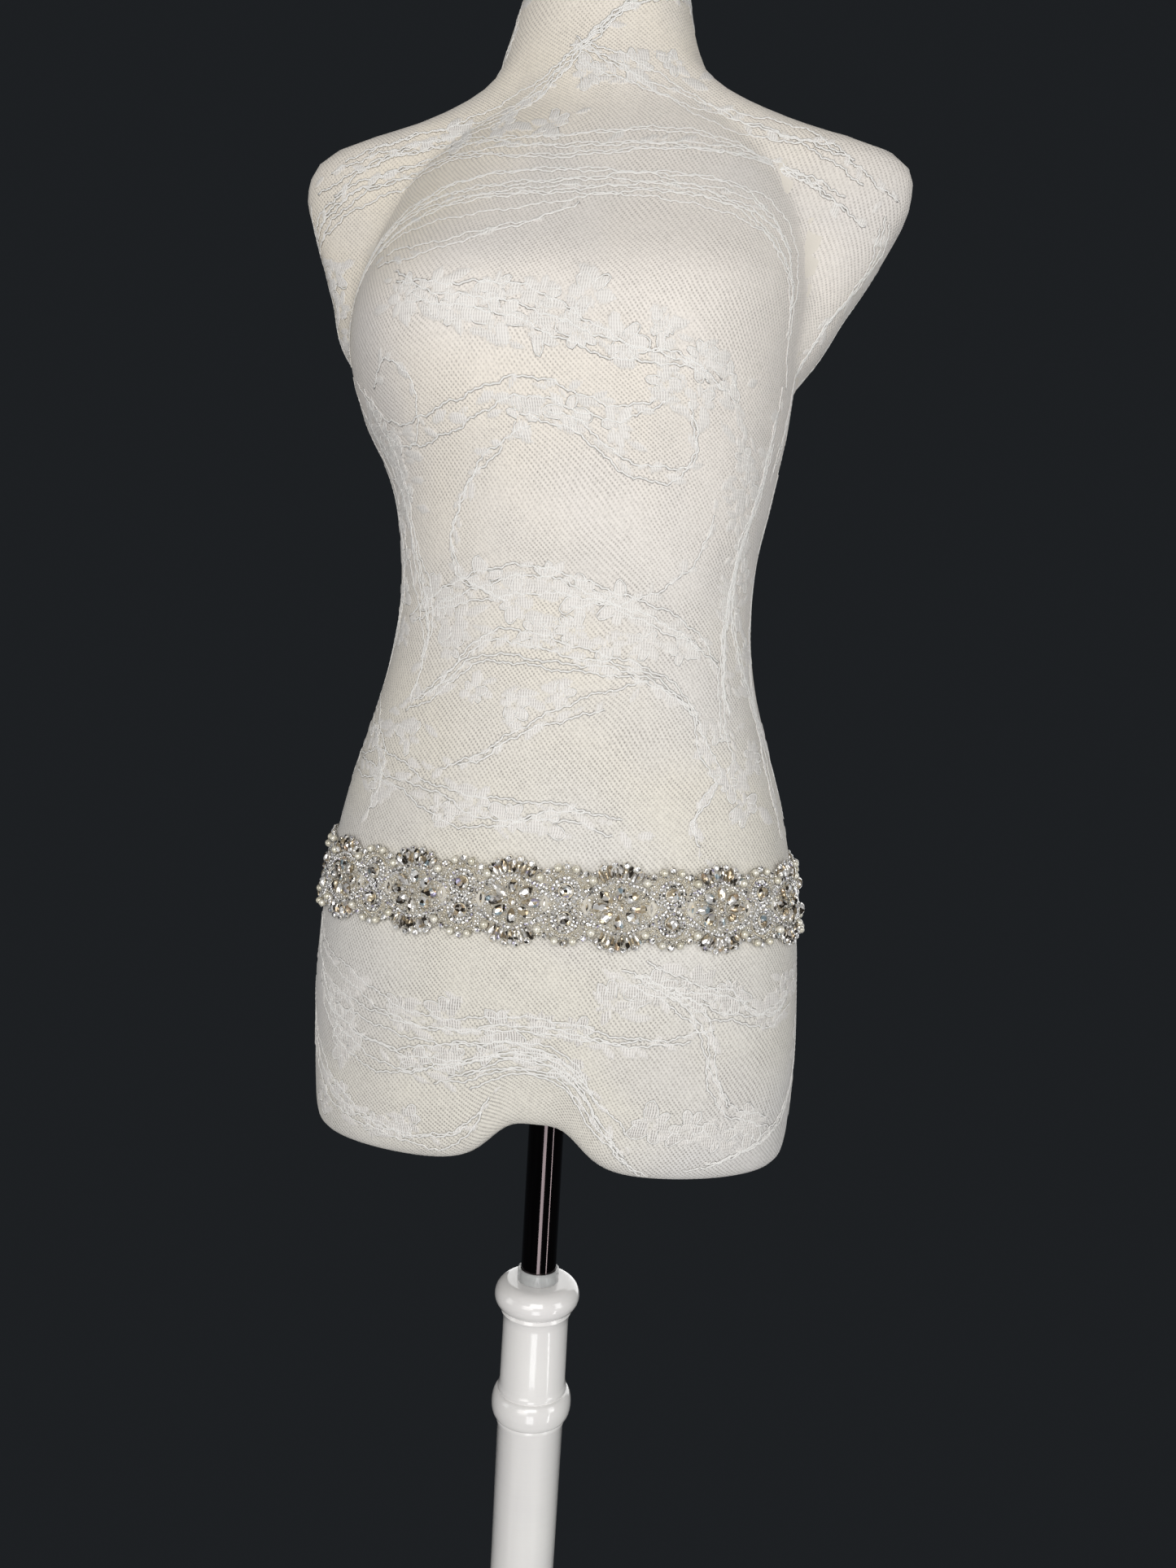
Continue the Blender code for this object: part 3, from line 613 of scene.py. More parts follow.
def lace_net():
    """Fine knitted net over foam, warm in patches, with shadowed holes."""
    cover = Finish("lace_net", paint(236, 231, 225), 0.86, sheen_weight=0.2, sheen_roughness=0.5)
    tone, warm_lit_upper = net_tone(cover)
    holes = net_holes(cover, *cover.cloth_axes(), warm_lit_upper)
    cover.feed("Base Color", cover.blend(holes, tone, paint(*HOLE_TONE)))
    cover.bump(holes * -1.6 + cover.noise(900.0, 2.0) * 0.5, 0.00026)
    return cover.material


def lace_clothwork():
    """Lace petals: a dense white rim, frayed at its edge, round an open ladder of upright threads, with
    painted shade in the ladder's gaps.
    """
    petal = Finish("lace_clothwork", paint(242, 240, 237), 0.78, sheen_weight=0.25, sheen_roughness=0.45)
    round_way, up_way = petal.cloth_axes()
    inside, openness = petal.cloth_axes("edge")
    tone, warm_lit_upper = net_tone(petal)
    holes = net_holes(petal, round_way, up_way, warm_lit_upper)
    net = petal.blend(holes, tone, paint(*HOLE_TONE))
    ribs = (round_way + petal.noise(90.0, 1.0) * 0.003).wave(RIB_PITCH)
    steps = (up_way + petal.noise(70.0, 1.0) * 0.003).wave(RIB_PITCH * 1.3)
    ladder = inside.over(PETAL_RIM * 0.5, PETAL_RIM) * openness * 0.85 + 0.15
    shaded_gaps = ribs.over(-0.4, 0.7) * (steps.over(-0.8, 0.2) * 0.4 + 0.6) * ladder
    # Gaps of the ladder painted dark: painted shade in them.
    motif = petal.blend(shaded_gaps, paint(236, 233, 229), paint(170, 165, 160))
    fray = ribs * 0.45 + petal.noise(230.0, 2.0) * 1.8 - 0.9
    solid = (inside / PETAL_FRAY + fray).over(0.1, 0.6)
    petal.feed("Base Color", petal.blend(solid, net, motif))
    petal.bump(solid * 0.6 - shaded_gaps * 1.2 + petal.noise(700.0, 2.0) * 0.5, 0.00030)
    return petal.material


def lace_cord():
    """Twisted cord round the motifs, whiter than the net, with a painted shadow on the net beside it and
    painted shade in the twist's grooves.
    """
    cord = Finish("lace_cord", paint(246, 245, 243), 0.62, sheen_weight=0.3, sheen_roughness=0.4)
    along, across = cord.cloth_axes()
    twist = (along + across * 0.0004).wave(CORD_TWIST)
    tone, _ = net_tone(cord)
    # Skirts beside the cord: the net's tone darkened toward the holes' tone in a wave along the cord, a
    # painted shadow of the cord.
    stretched = along.wave(RIB_PITCH).over(-0.8, 0.4) * 0.16 + 0.14
    painted_cord_shadow = cord.blend(stretched, tone, paint(*HOLE_TONE))
    # The twist's grooves are painted darker: painted shade in them.
    plain = cord.blend(twist.over(0.2, 1.0) * 0.2, paint(245, 244, 241), paint(222, 218, 212))
    cord.feed("Base Color", cord.blend(across.size().over(1.1, 1.6), plain, painted_cord_shadow))
    cord.bump(twist * 0.5 + cord.noise(800.0, 1.0) * 0.5, 0.00020)
    return cord.material


def foam():
    body = Finish("foam", paint(226, 220, 210), 0.9)
    body.bump(body.noise(700.0, 2.0), 0.0002)
    return body.material


def satin_felt():
    """Backing of the trim: off-white satin that shows in the eyes, closely sewn with tiny beads elsewhere,
    with painted shade in the gaps between the beads.
    """
    backing = Finish("satin_felt", paint(236, 233, 224), 0.50, sheen_weight=0.15)
    along, across = backing.cloth_axes()
    weave = along.wave(SATIN_WEAVE) * across.wave(SATIN_WEAVE)
    tone = backing.noise(90.0, 2.0).over(0.35, 0.7)
    cloth = backing.blend(tone, paint(206, 201, 190), paint(220, 215, 204))
    middle = (along / REPEAT + 100.5).math("FRACT") - 0.5
    eye = (middle.size() * REPEAT - EYE_MIDDLE).size() / EYE_HALF_WIDTH + across.size() / EYE_HALF_HEIGHT
    beaded = eye.over(0.85, 1.0)
    # Gaps between the painted beads are darker than the satin: painted shade between them.
    bead_gap_shade = backing.cells(BEAD_PITCH, 0.8, "Distance").over(0.25, 0.62)
    beads = backing.blend(bead_gap_shade, backing.ramp(BEAD_STOPS, backing.cells(BEAD_PITCH, 0.8)), paint(192, 185, 170))
    backing.feed("Base Color", backing.blend(beaded, cloth, beads))
    backing.feed("Metallic", beaded * 0.2)
    backing.feed("Roughness", beaded * -0.25 + 0.5)
    backing.bump((1.0 - bead_gap_shade) * beaded * 6.0 + weave * 0.5 + backing.noise(260.0, 2.0), 0.00012)
    return backing.material


def satin():
    """Double-faced satin ribbon with long floats and a selvedge."""
    ribbon = Finish("satin_ribbon", paint(232, 227, 216), 0.34, sheen_weight=0.25, anisotropic=0.5,
                    coat_weight=0.15, coat_roughness=0.3)
    along, across = ribbon.cloth_axes()
    floats = across.wave(SATIN_FLOAT) + along.wave(0.0023) * 0.3
    selvedge = across.size().over(RIBBON_WIDTH * 0.46, RIBBON_WIDTH * 0.47)
    tone = ribbon.noise(60.0, 2.0).over(0.35, 0.7)
    colour = ribbon.blend(tone, paint(226, 221, 210), paint(238, 233, 223))
    ribbon.feed("Base Color", ribbon.blend(selvedge * 0.35, colour, paint(196, 190, 178)))
    ribbon.bump(floats * 0.4 + selvedge + ribbon.noise(500.0, 2.0) * 0.5, 0.00010)
    return ribbon.material


def foiled_crystal(name, cell, tilt, stops, roughness):
    """Clear crystal over foil: each small cell mirrors the room its own way, and its colour is partly the
    stone's own tint and partly a painted reflection: a dark facet, a white glint or coloured fire.
    """
    stone = Finish(name, paint(214, 210, 203), roughness, metallic=0.50, coat_weight=1.0,
                   coat_roughness=0.03)
    cells = stone.cells(cell, 1.0)
    centred = stone.vector("SUBTRACT", {0: cells, 1: (0.5, 0.5, 0.5)})
    leaned = stone.vector("SCALE", {0: centred, "Scale": tilt})
    face = stone.node("ShaderNodeNewGeometry", output="Normal")
    stone.feed("Normal", stone.vector("NORMALIZE", {0: stone.vector("ADD", {0: face, 1: leaned})}))
    split = stone.node("ShaderNodeSeparateColor", sockets={"Color": cells})
    # Each cell's colour from the stops: the stone's tints and painted reflections.
    stone.feed("Base Color", stone.ramp(stops, stone.outlet(split, "Green")))
    return stone.material


BEAD_STOPS = (
    (0.00, paint(206, 200, 186)),
    (0.25, paint(240, 236, 226)),
    (0.55, paint(252, 251, 247)),
    (0.80, paint(228, 218, 196)),
)
# Cell colours of the crystals: partly the stones' own tints, partly painted reflections, as dark facets,
# white glints and coloured fire.
CLEAR_TINTS_AND_REFLECTIONS = (
    (0.00, paint(62, 56, 48)),
    (0.21, paint(166, 150, 124)),
    (0.33, paint(232, 228, 219)),
    (0.50, paint(254, 253, 251)),
    (0.72, paint(218, 202, 172)),
    (0.84, paint(230, 226, 222)),
    (0.93, paint(186, 180, 210)),
    (0.955, paint(208, 182, 152)),
    (0.98, paint(176, 196, 206)),
)
BRIGHT_TINTS_AND_REFLECTIONS = (
    (0.00, paint(78, 75, 71)),
    (0.16, paint(214, 212, 208)),
    (0.30, paint(245, 244, 242)),
    (0.62, paint(254, 254, 254)),
    (0.90, paint(216, 206, 190)),
    (0.96, paint(206, 200, 232)),
)


def pearl_lustre():
    pearl = Finish("pearl_lustre", paint(226, 221, 204), 0.16, metallic=0.25, coat_weight=1.0,
                   coat_roughness=0.05)
    tone = pearl.noise(160.0, 1.0).over(0.35, 0.65)
    pearl.feed("Base Color", pearl.blend(tone, paint(216, 210, 190), paint(236, 232, 219)))
    pearl.bump(pearl.noise(900.0, 2.0), 0.00002)
    return pearl.material


def silver_cup():
    cup = Finish("silver_cup", paint(224, 218, 203), 0.24, metallic=0.55, coat_weight=0.6)
    tone = cup.noise(400.0, 2.0).over(0.4, 0.7)
    cup.feed("Base Color", cup.blend(tone, paint(236, 231, 218), paint(190, 177, 148)))
    cup.feed("Roughness", tone * 0.2 + 0.16)
    return cup.material


def gloss_paint():
    """White gloss paint on turned wood: faint brush lines round the turning, a little orange peel."""
    gloss = Finish("gloss_paint", paint(240, 238, 236), 0.16, coat_weight=0.6, coat_roughness=0.06)
    stretched = gloss.node("ShaderNodeMapping", sockets={"Vector": gloss.place(), "Scale": (1.0, 1.0, 14.0)})
    brush = gloss.noise(22.0, 3.0, stretched)
    tone = gloss.noise(16.0, 2.0).over(0.35, 0.7)
    gloss.feed("Base Color", gloss.blend(tone, paint(238, 236, 235), paint(245, 244, 241)))
    gloss.feed("Roughness", brush * 0.14 + 0.10)
    gloss.bump(brush + gloss.noise(240.0, 1.0) * 0.25, 0.00020, 0.6)
    return gloss.material


def black_chrome():
    """Dark polished tube with fine rubbed lines down it."""
    chrome = Finish("black_chrome", paint(84, 76, 78), 0.08, metallic=1.0, coat_weight=0.2,
                    coat_roughness=0.04)
    lines = chrome.node("ShaderNodeMapping", sockets={"Vector": chrome.place(), "Scale": (1.0, 1.0, 0.02)})
    rubbed = chrome.noise(900.0, 2.0, lines)
    chrome.feed("Roughness", rubbed * 0.10 + 0.03)
    chrome.feed("Base Color", chrome.blend(rubbed.over(0.35, 0.75), paint(78, 68, 70), paint(98, 88, 88)))
    return chrome.material


def clear_plastic():
    clear = Finish("clear_plastic", paint(214, 216, 216), 0.08, alpha=0.55, coat_weight=0.6, ior=1.49)
    haze = clear.noise(120.0, 2.0)
    clear.feed("Roughness", haze * 0.22 + 0.02)
    clear.feed("Alpha", haze * 0.3 + 0.38)
    return clear.material


def pale_floor():
    ground = Finish("pale_floor", paint(206, 205, 203), 0.7)
    ground.feed("Base Color", ground.blend(ground.noise(3.0, 2.0).over(0.3, 0.7), paint(203, 202, 200),
                                           paint(210, 209, 207)))
    return ground.material


def clear_selection():
    if bpy.context.object and bpy.context.object.mode != "OBJECT":
        bpy.ops.object.mode_set(mode="OBJECT")
    bpy.ops.object.select_all(action="DESELECT")


def mesh_piece(name, points, faces, materials, smooth=None, marks=None, maps=None, edges=None):
    """Piece at the origin from arrays: points, faces of any size, a material mark a face, maps a corner."""
    mesh = bpy.data.meshes.new(name)
    mesh.from_pydata(np.asarray(points).tolist(), [], faces)
    for material in materials:
        mesh.materials.append(material)
    if marks is not None:
        mesh.polygons.foreach_set("material_index", np.asarray(marks, dtype=np.int32))
    if smooth is None:
        mesh.shade_smooth()
    else:
        mesh.polygons.foreach_set("use_smooth", np.asarray(smooth, dtype=bool))
    for label, spots in (("cloth", maps), ("edge", edges)):
        if spots is not None:
            layer = mesh.uv_layers.new(name=label)
            layer.data.foreach_set("uv", np.asarray(spots, dtype=np.float32).ravel())
    mesh.update()
    piece = bpy.data.objects.new(name, mesh)
    bpy.context.collection.objects.link(piece)
    return piece


def grid_faces(rows, columns, closed=False, start=0, turned=False):
    """Quads between rows of points; closed joins the last column to the first."""
    lower = np.arange(rows - 1)[:, None] * columns
    side = np.arange(columns if closed else columns - 1)[None, :]
    after = (side + 1) % columns
    quads = np.stack([lower + side, lower + after, lower + columns + after, lower + columns + side], axis=-1)
    quads = quads.reshape(-1, 4) + start
    return quads[:, ::-1] if turned else quads


def turned(name, profile, material, slot, body, closed=False):
    """Piece turned on the stand's axis from (radius, height) pairs, by a spin in edit mode."""
    clear_selection()
    mesh = bpy.data.meshes.new(name)
    points = [(radius, 0.0, height) for radius, height in profile]
    edges = [(index, index + 1) for index in range(len(points) - 1)]
    if closed:
        edges.append((len(points) - 1, 0))
    mesh.from_pydata(points, edges, [])
    piece = bpy.data.objects.new(name, mesh)
    bpy.context.collection.objects.link(piece)
    bpy.context.view_layer.objects.active = piece
    piece.select_set(True)
    bpy.ops.object.mode_set(mode="EDIT")
    bpy.ops.mesh.select_all(action="SELECT")
    bpy.ops.mesh.spin(steps=TURNED_STEPS, angle=2.0 * math.pi, center=(0, 0, 0), axis=(0, 0, 1))
    bpy.ops.mesh.select_all(action="SELECT")
    bpy.ops.mesh.remove_doubles(threshold=0.00002)
    bpy.ops.mesh.normals_make_consistent(inside=False)
    bpy.ops.object.mode_set(mode="OBJECT")
    bpy.ops.object.shade_smooth_by_angle(angle=math.radians(35))
    mesh.materials.append(material)
    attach(piece, body)
    return piece


def half_round(radius, height, bulge, half_height, steps=14):
    turns = [math.pi * (step / steps - 0.5) for step in range(steps + 1)]
    return [(radius + bulge * math.cos(turn), height + half_height * math.sin(turn)) for turn in turns]


def make_stand():
    gloss = gloss_paint()
    rim = [(BASE_RADIUS - BASE_TOP_EDGE * (1.0 - math.sin(turn)),
            BASE_HEIGHT - BASE_TOP_EDGE * (1.0 - math.cos(turn)))
           for turn in (math.pi / 2 * step / 8 for step in range(9))]
    foot = [(0.0, 0.0), (BASE_RADIUS - BASE_FOOT_EDGE, 0.0), (BASE_RADIUS, BASE_FOOT_EDGE)]
    base = turned("round_base", foot + rim[::-1] + [(0.0, BASE_HEIGHT)], gloss, "white_wood", "stand")
    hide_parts("base")
    bead_low, bead_high = BEAD_MIDDLE - BEAD_HEIGHT / 2, BEAD_MIDDLE + BEAD_HEIGHT / 2
    flange_low, half = POLE_TOP - FLANGE_HEIGHT, FLANGE_HEIGHT / 2
    profile = [(BORE_RADIUS, BASE_HEIGHT + TOUCH_GAP), (POLE_FOOT_RADIUS, BASE_HEIGHT + TOUCH_GAP),
               (POLE_FOOT_RADIUS, 0.30), (POLE_FOOT_RADIUS, 0.50)]
    profile += [(POLE_RADIUS + out, bead_low + up) for out, up in BEAD_FOOT]
    profile += half_round(POLE_RADIUS + 0.0006, BEAD_MIDDLE, BEAD_RADIUS - POLE_RADIUS - 0.0006,
                          BEAD_HEIGHT / 2 - 0.0016)
    profile += [(POLE_RADIUS + out, bead_high + up) for out, up in BEAD_HEAD]
    profile += [(POLE_RADIUS + out, flange_low + up) for out, up in FLANGE_FOOT]
    profile += half_round(FLANGE_RADIUS - half, POLE_TOP - half, half, half)[2:]
    profile += [(BORE_RADIUS + 0.0006, POLE_TOP), (BORE_RADIUS, POLE_TOP - 0.0006),
                (BORE_RADIUS, BORE_BOTTOM)]
    pole = turned("turned_pole", profile, gloss, "white_wood", "stand", closed=True)
    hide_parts("pole")
    low, high = POLE_TOP + TOUCH_GAP, POLE_TOP + TOUCH_GAP + COLLAR_HEIGHT
    outer = BORE_RADIUS + COLLAR_WALL
    collar = turned("clear_bush", [(BORE_RADIUS, low), (outer, low), (outer, high - BEVEL),
                                   (outer - BEVEL, high), (BORE_RADIUS, high)],
                    clear_plastic(), "clear_plastic", "stand", closed=True)
    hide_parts("clear_collar")
    rod = turned("chrome_rod", [(0.0, ROD_BOTTOM), (ROD_RADIUS - BEVEL, ROD_BOTTOM),
                                (ROD_RADIUS, ROD_BOTTOM + BEVEL), (ROD_RADIUS, ROD_TOP - BEVEL),
                                (ROD_RADIUS - BEVEL, ROD_TOP), (0.0, ROD_TOP)],
                 black_chrome(), "black_chrome", "rod")
    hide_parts("rod")


def give_wall(piece, thickness):
    """Thin wall inwards from the piece's outer face."""
    clear_selection()
    bpy.context.view_layer.objects.active = piece
    piece.select_set(True)
    wall = piece.modifiers.new("wall", "SOLIDIFY")
    wall.thickness = thickness
    wall.offset = -1.0
    bpy.ops.object.modifier_apply(modifier=wall.name)


def form_rings(rows, columns):
    """Rings of points up the form: from the rod's socket over the lower end, up, and in over the neck."""
    turns = np.linspace(-1.5 * math.pi, 0.5 * math.pi, columns + 1)
    turns = turns - SIDE_CROWDING * np.sin(2.0 * turns)
    rim = form_points(turns, np.full(turns.shape, FORM_BOTTOM))
    socket = SOCKET_RADIUS * np.stack([np.cos(turns), np.sin(turns)], axis=-1)
    rings = []
    for share in np.linspace(0.0, 1.0, 25)[:-1] ** 0.8:
        flat = socket * (1 - share) + rim[:, :2] * share
        height = FORM_BOTTOM + arch_lift(flat[:, 0], np.full(len(turns), FORM_BOTTOM))
        rings.append(np.column_stack([flat, height]))
    fine = np.linspace(FORM_BOTTOM, LOW_EDGE_TOP, 13)[:-1]
    sides = np.linspace(LOW_EDGE_TOP, NECK_EDGE, rows)
    top = np.linspace(NECK_EDGE, FORM_TOP, 9)[1:]
    for height in np.concatenate([fine, sides, top]):
        rings.append(form_points(turns, np.full(turns.shape, height)))
    last = rings[-1]
    middle = last[:-1].mean(axis=0)
    for share in (0.75, 0.5, 0.25, 0.05):
        rings.append(middle + (last - middle) * share)
    return np.array(rings), middle


def make_form():
    rings, middle = form_rings(*COVER_GRID)
    rows, columns = rings.shape[:2]
    steps = np.linalg.norm(np.diff(rings, axis=1), axis=2)
    around = np.concatenate([np.zeros((rows, 1)), np.cumsum(steps, axis=1)], axis=1)
    around -= 0.5 * around[:, -1:]
    climb = np.linalg.norm(np.diff(rings, axis=0), axis=2).mean(axis=1, keepdims=True)
    upward = np.concatenate([np.zeros((1, 1)), np.cumsum(climb, axis=0)], axis=0) + np.zeros((1, columns))
    faces = grid_faces(rows, columns - 1, closed=True)
    lower = np.arange(rows - 1)[:, None] * columns
    side = np.arange(columns - 1)[None, :]
    corners = np.stack([lower + side, lower + side + 1, lower + columns + side + 1,
                        lower + columns + side], axis=-1).reshape(-1)
    cloth = np.column_stack([around.reshape(-1), upward.reshape(-1)])[corners]
    last = (rows - 1) * (columns - 1)
    points = np.vstack([rings[:, :-1].reshape(-1, 3), middle])
    tip = len(points) - 1
    caps = [(last + index, last + (index + 1) % (columns - 1), tip) for index in range(columns - 1)]
    cap_map = np.tile((0.0, float(upward[-1, 0])), (3 * len(caps), 1))
    cover = mesh_piece("lace_cover", points, faces.tolist() + caps, [lace_net()],
                       maps=np.vstack([cloth, cap_map]))
    give_wall(cover, COVER_WALL)
    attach(cover, "figure")
    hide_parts("dress_form")
    rings, middle = form_rings(*FOAM_GRID)
    rows, count = rings.shape[0], rings.shape[1] - 1
    turns = np.linspace(-1.5 * math.pi, 0.5 * math.pi, count + 1)[:-1]
    socket = SOCKET_RADIUS * np.stack([np.cos(turns), np.sin(turns)], axis=-1)
    socket = np.column_stack([socket, np.full(count, SOCKET_TOP)])
    points = np.vstack([socket, rings[:, :-1].reshape(-1, 3), [(0.0, 0.0, SOCKET_TOP)], [middle]])
    low_end, high_end = len(points) - 2, len(points) - 1
    faces = grid_faces(rows + 1, count, closed=True).tolist()
    faces += [((index + 1) % count, index, low_end) for index in range(count)]
    faces += [(rows * count + index, rows * count + (index + 1) % count, high_end) for index in range(count)]
    body = mesh_piece("form_body", points, faces, [foam()])
    normals = np.array([normal.vector[:] for normal in body.data.vertex_normals])
    normals[:count] = 0.0
    normals[low_end] = 0.0
    moved = points - normals * (COVER_WALL + FOAM_GAP)
    body.data.vertices.foreach_set("co", moved.astype(np.float32).ravel())
    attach(body, "figure")
    return cover


def smooth_route(points, count):
    """Evenly spaced places on a smooth curve through given ones."""
    points = np.array(points, dtype=float)
    ends = np.vstack([2 * points[0] - points[1], points, 2 * points[-1] - points[-2]])
    share = np.linspace(0.0, len(points) - 1.0, count)
    index = np.minimum(share.astype(int), len(points) - 2)
    step = (share - index)[:, None]
    before, start, end, after = (ends[index + shift] for shift in range(4))
    curve = 0.5 * (2 * start + (end - before) * step
                   + (2 * before - 5 * start + 4 * end - after) * step ** 2
                   + (3 * start - before - 3 * end + after) * step ** 3)
    return curve[:, 0], curve[:, 1]


def run_length(along, height):
    steps = np.hypot(np.diff(along), np.diff(height))
    return np.concatenate([[0.0], np.cumsum(steps)])


class Relief:
    """Raised lace of the form's front, or of its back by a half turn, gathered as one mesh."""

    def __init__(self, back, seed):
        self.back = back
        self.draw = random.Random(seed)
        self.points = []
        self.faces = []
        self.maps = []
        self.edges = []
        self.count = 0

    def round_form(self, along, height):
        if self.back:
            return 0.5 * np.interp(height, GIRTH_HEIGHTS, GIRTHS) - along
        return along

    def add(self, points, faces, spots, edges):
        self.points.append(points.reshape(-1, 3))
        self.faces.extend((faces + self.count).tolist())
        self.maps.append(spots.reshape(-1, 2)[faces.ravel()])
        self.edges.append(edges.reshape(-1, 2)[faces.ravel()])
        self.count += points.reshape(-1, 3).shape[0]

    def cord(self, along, height, radius=CORD_RADIUS, wave=CORD_WAVE, step=CORD_STEP):
        """Cord through places round and up the form, with uneven small waves."""
        length = run_length(along, height)
        if length[-1] < 2.5 * step:
            return
        even = np.linspace(0.0, length[-1], int(length[-1] / step) + 2)
        along, height = np.interp(even, length, along), np.interp(even, length, height)
        ahead, climb = np.gradient(along), np.gradient(height)
        size = np.hypot(ahead, climb) + 1e-9
        sway = np.zeros(len(even))
        for share, shortest, longest in CORD_WAVES:
            pitch = self.draw.uniform(shortest, longest)
            sway += share * wave * np.sin(even * 2.0 * math.pi / pitch + self.draw.uniform(0, 6))
        along = along - climb / size * sway
        height = np.clip(height + ahead / size * sway, LACE_LOWEST, LACE_HIGHEST)
        angle = angle_round(self.round_form(along, height), height)
        middle, normal = form_points(angle, height), form_normals(angle, height)
        forward = np.gradient(middle, axis=0)
        forward /= np.linalg.norm(forward, axis=1, keepdims=True) + 1e-12
        across = np.cross(forward, normal)
        swell = CORD_SWELL * np.sin(even * 2.0 * math.pi / CORD_SWELL_PITCH)
        thick = radius * (1.0 + swell)[:, None]
        ring = [middle + across * thick * side + normal * (LACE_OUT + thick * rise)
                for side, rise in CORD_OUTLINE]
        rows = len(even)
        faces = grid_faces(rows, 4, closed=True)
        ends = np.array([[3, 2, 1, 0], [rows * 4 - 4, rows * 4 - 3, rows * 4 - 2, rows * 4 - 1]])
        sides = np.tile([side for side, _ in CORD_OUTLINE], (rows, 1))
        spots = np.stack([np.repeat(even[:, None], 4, axis=1), sides], axis=-1)
        self.add(np.stack(ring, axis=1), np.vstack([faces, ends]), spots, spots)

    def petal(self, along, height, turn, length, width, openness, start=0.15, columns=6):
        """Patch from a motif's middle outwards, dense at its rim, with a soft uneven edge."""
        draw = self.draw
        share = np.linspace(start, 1.0, PETAL_ROWS)[:, None]
        across = np.linspace(-1.0, 1.0, columns)[None, :]
        half = 0.5 * width * np.sin(math.pi * np.minimum(share, 0.999) ** 1.25) ** 0.62 + 0.0004
        out_way = share * length * (1.0 + 0.05 * draw.uniform(0.4, 1.4) * (1.0 - across ** 2) * share ** 2)
        side_way = half * across * (1.0 + 0.18 * np.sin(share * 13.0 + draw.uniform(0, 6)))
        place = along + out_way * math.cos(turn) - side_way * math.sin(turn)
        level = height + out_way * math.sin(turn) + side_way * math.cos(turn)
        level = np.clip(level, LACE_LOWEST, LACE_HIGHEST)
        ends = np.minimum(share - start, 1.0 - share) * length
        inside = np.minimum(half * (1.0 - np.abs(across)), ends)
        rise = LACE_OUT * 0.4 + PETAL_RISE * np.clip(inside / 0.0006, 0.0, 1.0)
        edges = np.stack([inside, np.full(inside.shape, openness)], axis=-1)
        self.add(on_form(self.round_form(place, level), level, rise),
                 grid_faces(PETAL_ROWS, columns, turned=not self.back), np.stack([place, level], axis=-1),
                 edges)

    def flower(self, along, height, size, openness, outlines):
        draw = self.draw
        petals = draw.choice((6, 7, 8))
        first = draw.uniform(0, math.pi)
        for index in range(petals):
            turn = first + 2.0 * math.pi * index / petals + draw.uniform(-0.28, 0.28)
            length = size * draw.uniform(0.60, 1.25)
            width = length * draw.uniform(0.38, 0.60)
            self.petal(along, height, turn, length, width, openness * draw.uniform(0.7, 1.0))
            if draw.random() < 0.45:
                continue
            around = np.linspace(-1.0, 1.0, 9)
            reach = length * (1.03 - 0.72 * np.abs(around) ** 2.6)
            swing = 0.52 * width * np.sin(around * math.pi / 2)
            outlines.cord(along + reach * math.cos(turn) - swing * math.sin(turn),
                          height + reach * math.sin(turn) + swing * math.cos(turn),
                          radius=OUTLINE_RADIUS, wave=0.0003, step=0.0026)

    def scraps(self, along, height, density):
        """Small dense patches on both sides of a cord, closer together where it is busy."""
        draw = self.draw
        length = run_length(along, height)
        place = draw.uniform(0.002, 0.012)
        while place < length[-1]:
            spot, level = np.interp(place, length, along), np.interp(place, length, height)
            ahead = np.interp(place, length, np.gradient(along))
            climb = np.interp(place, length, np.gradient(height))
            turn = math.atan2(climb, ahead) + draw.choice((-1, 1)) * draw.uniform(0.1, 0.8)
            size = draw.uniform(0.006, 0.014)
            self.petal(spot, level, turn, size, size * draw.uniform(0.30, 0.48), 0.4, 0.0, 4)
            place += draw.uniform(0.005, 0.018) / density

    def cluster(self, along, height, half_width, half_height, flowers, openness, outlines):
        """Flowers side by side along the longer way of a band, with leaves of dense lace between them."""
        draw = self.draw
        wide = half_width >= half_height
        for index in range(flowers):
            share = (index + 0.5) / flowers * 2.0 - 1.0
            spot = along + half_width * (share if wide else draw.uniform(-0.8, 0.8))
            level = height + half_height * (draw.uniform(-0.9, 0.9) if wide else share)
            self.flower(spot, level, PETAL_LENGTH * draw.uniform(0.66, 1.0), openness, outlines)
            for _ in range(4):
                turn = draw.uniform(-0.7, 0.7) + draw.choice((0.0, math.pi))
                leaf = draw.uniform(0.009, 0.019)
                self.petal(spot + draw.uniform(-0.015, 0.015), level + draw.uniform(-0.010, 0.010), turn,
                           leaf, leaf * draw.uniform(0.28, 0.42), 0.5, 0.0, 5)

    def bundle(self, strands, spread, route, petals, scraps):
        """Cords that run together, drift apart and cross along a route."""
        draw = self.draw
        along, height = smooth_route(route, 90)
        share = np.linspace(0.0, 1.0, len(along))
        for strand in range(strands):
            offset = (strand / max(strands - 1, 1) - 0.5) * 2.0 * spread
            bend = np.sin(math.pi * share * draw.uniform(0.7, 1.6) + draw.uniform(0, 0.8))
            drift = offset * (0.45 + 0.75 * bend)
            drift += 0.35 * spread * np.sin(share * draw.uniform(9, 16) + draw.uniform(0, 6))
            first, last = draw.randint(0, 14), draw.randint(72, 90)
            self.cord((along + 0.3 * drift)[first:last], (height + drift)[first:last])
        petals.scraps(along, height, scraps)


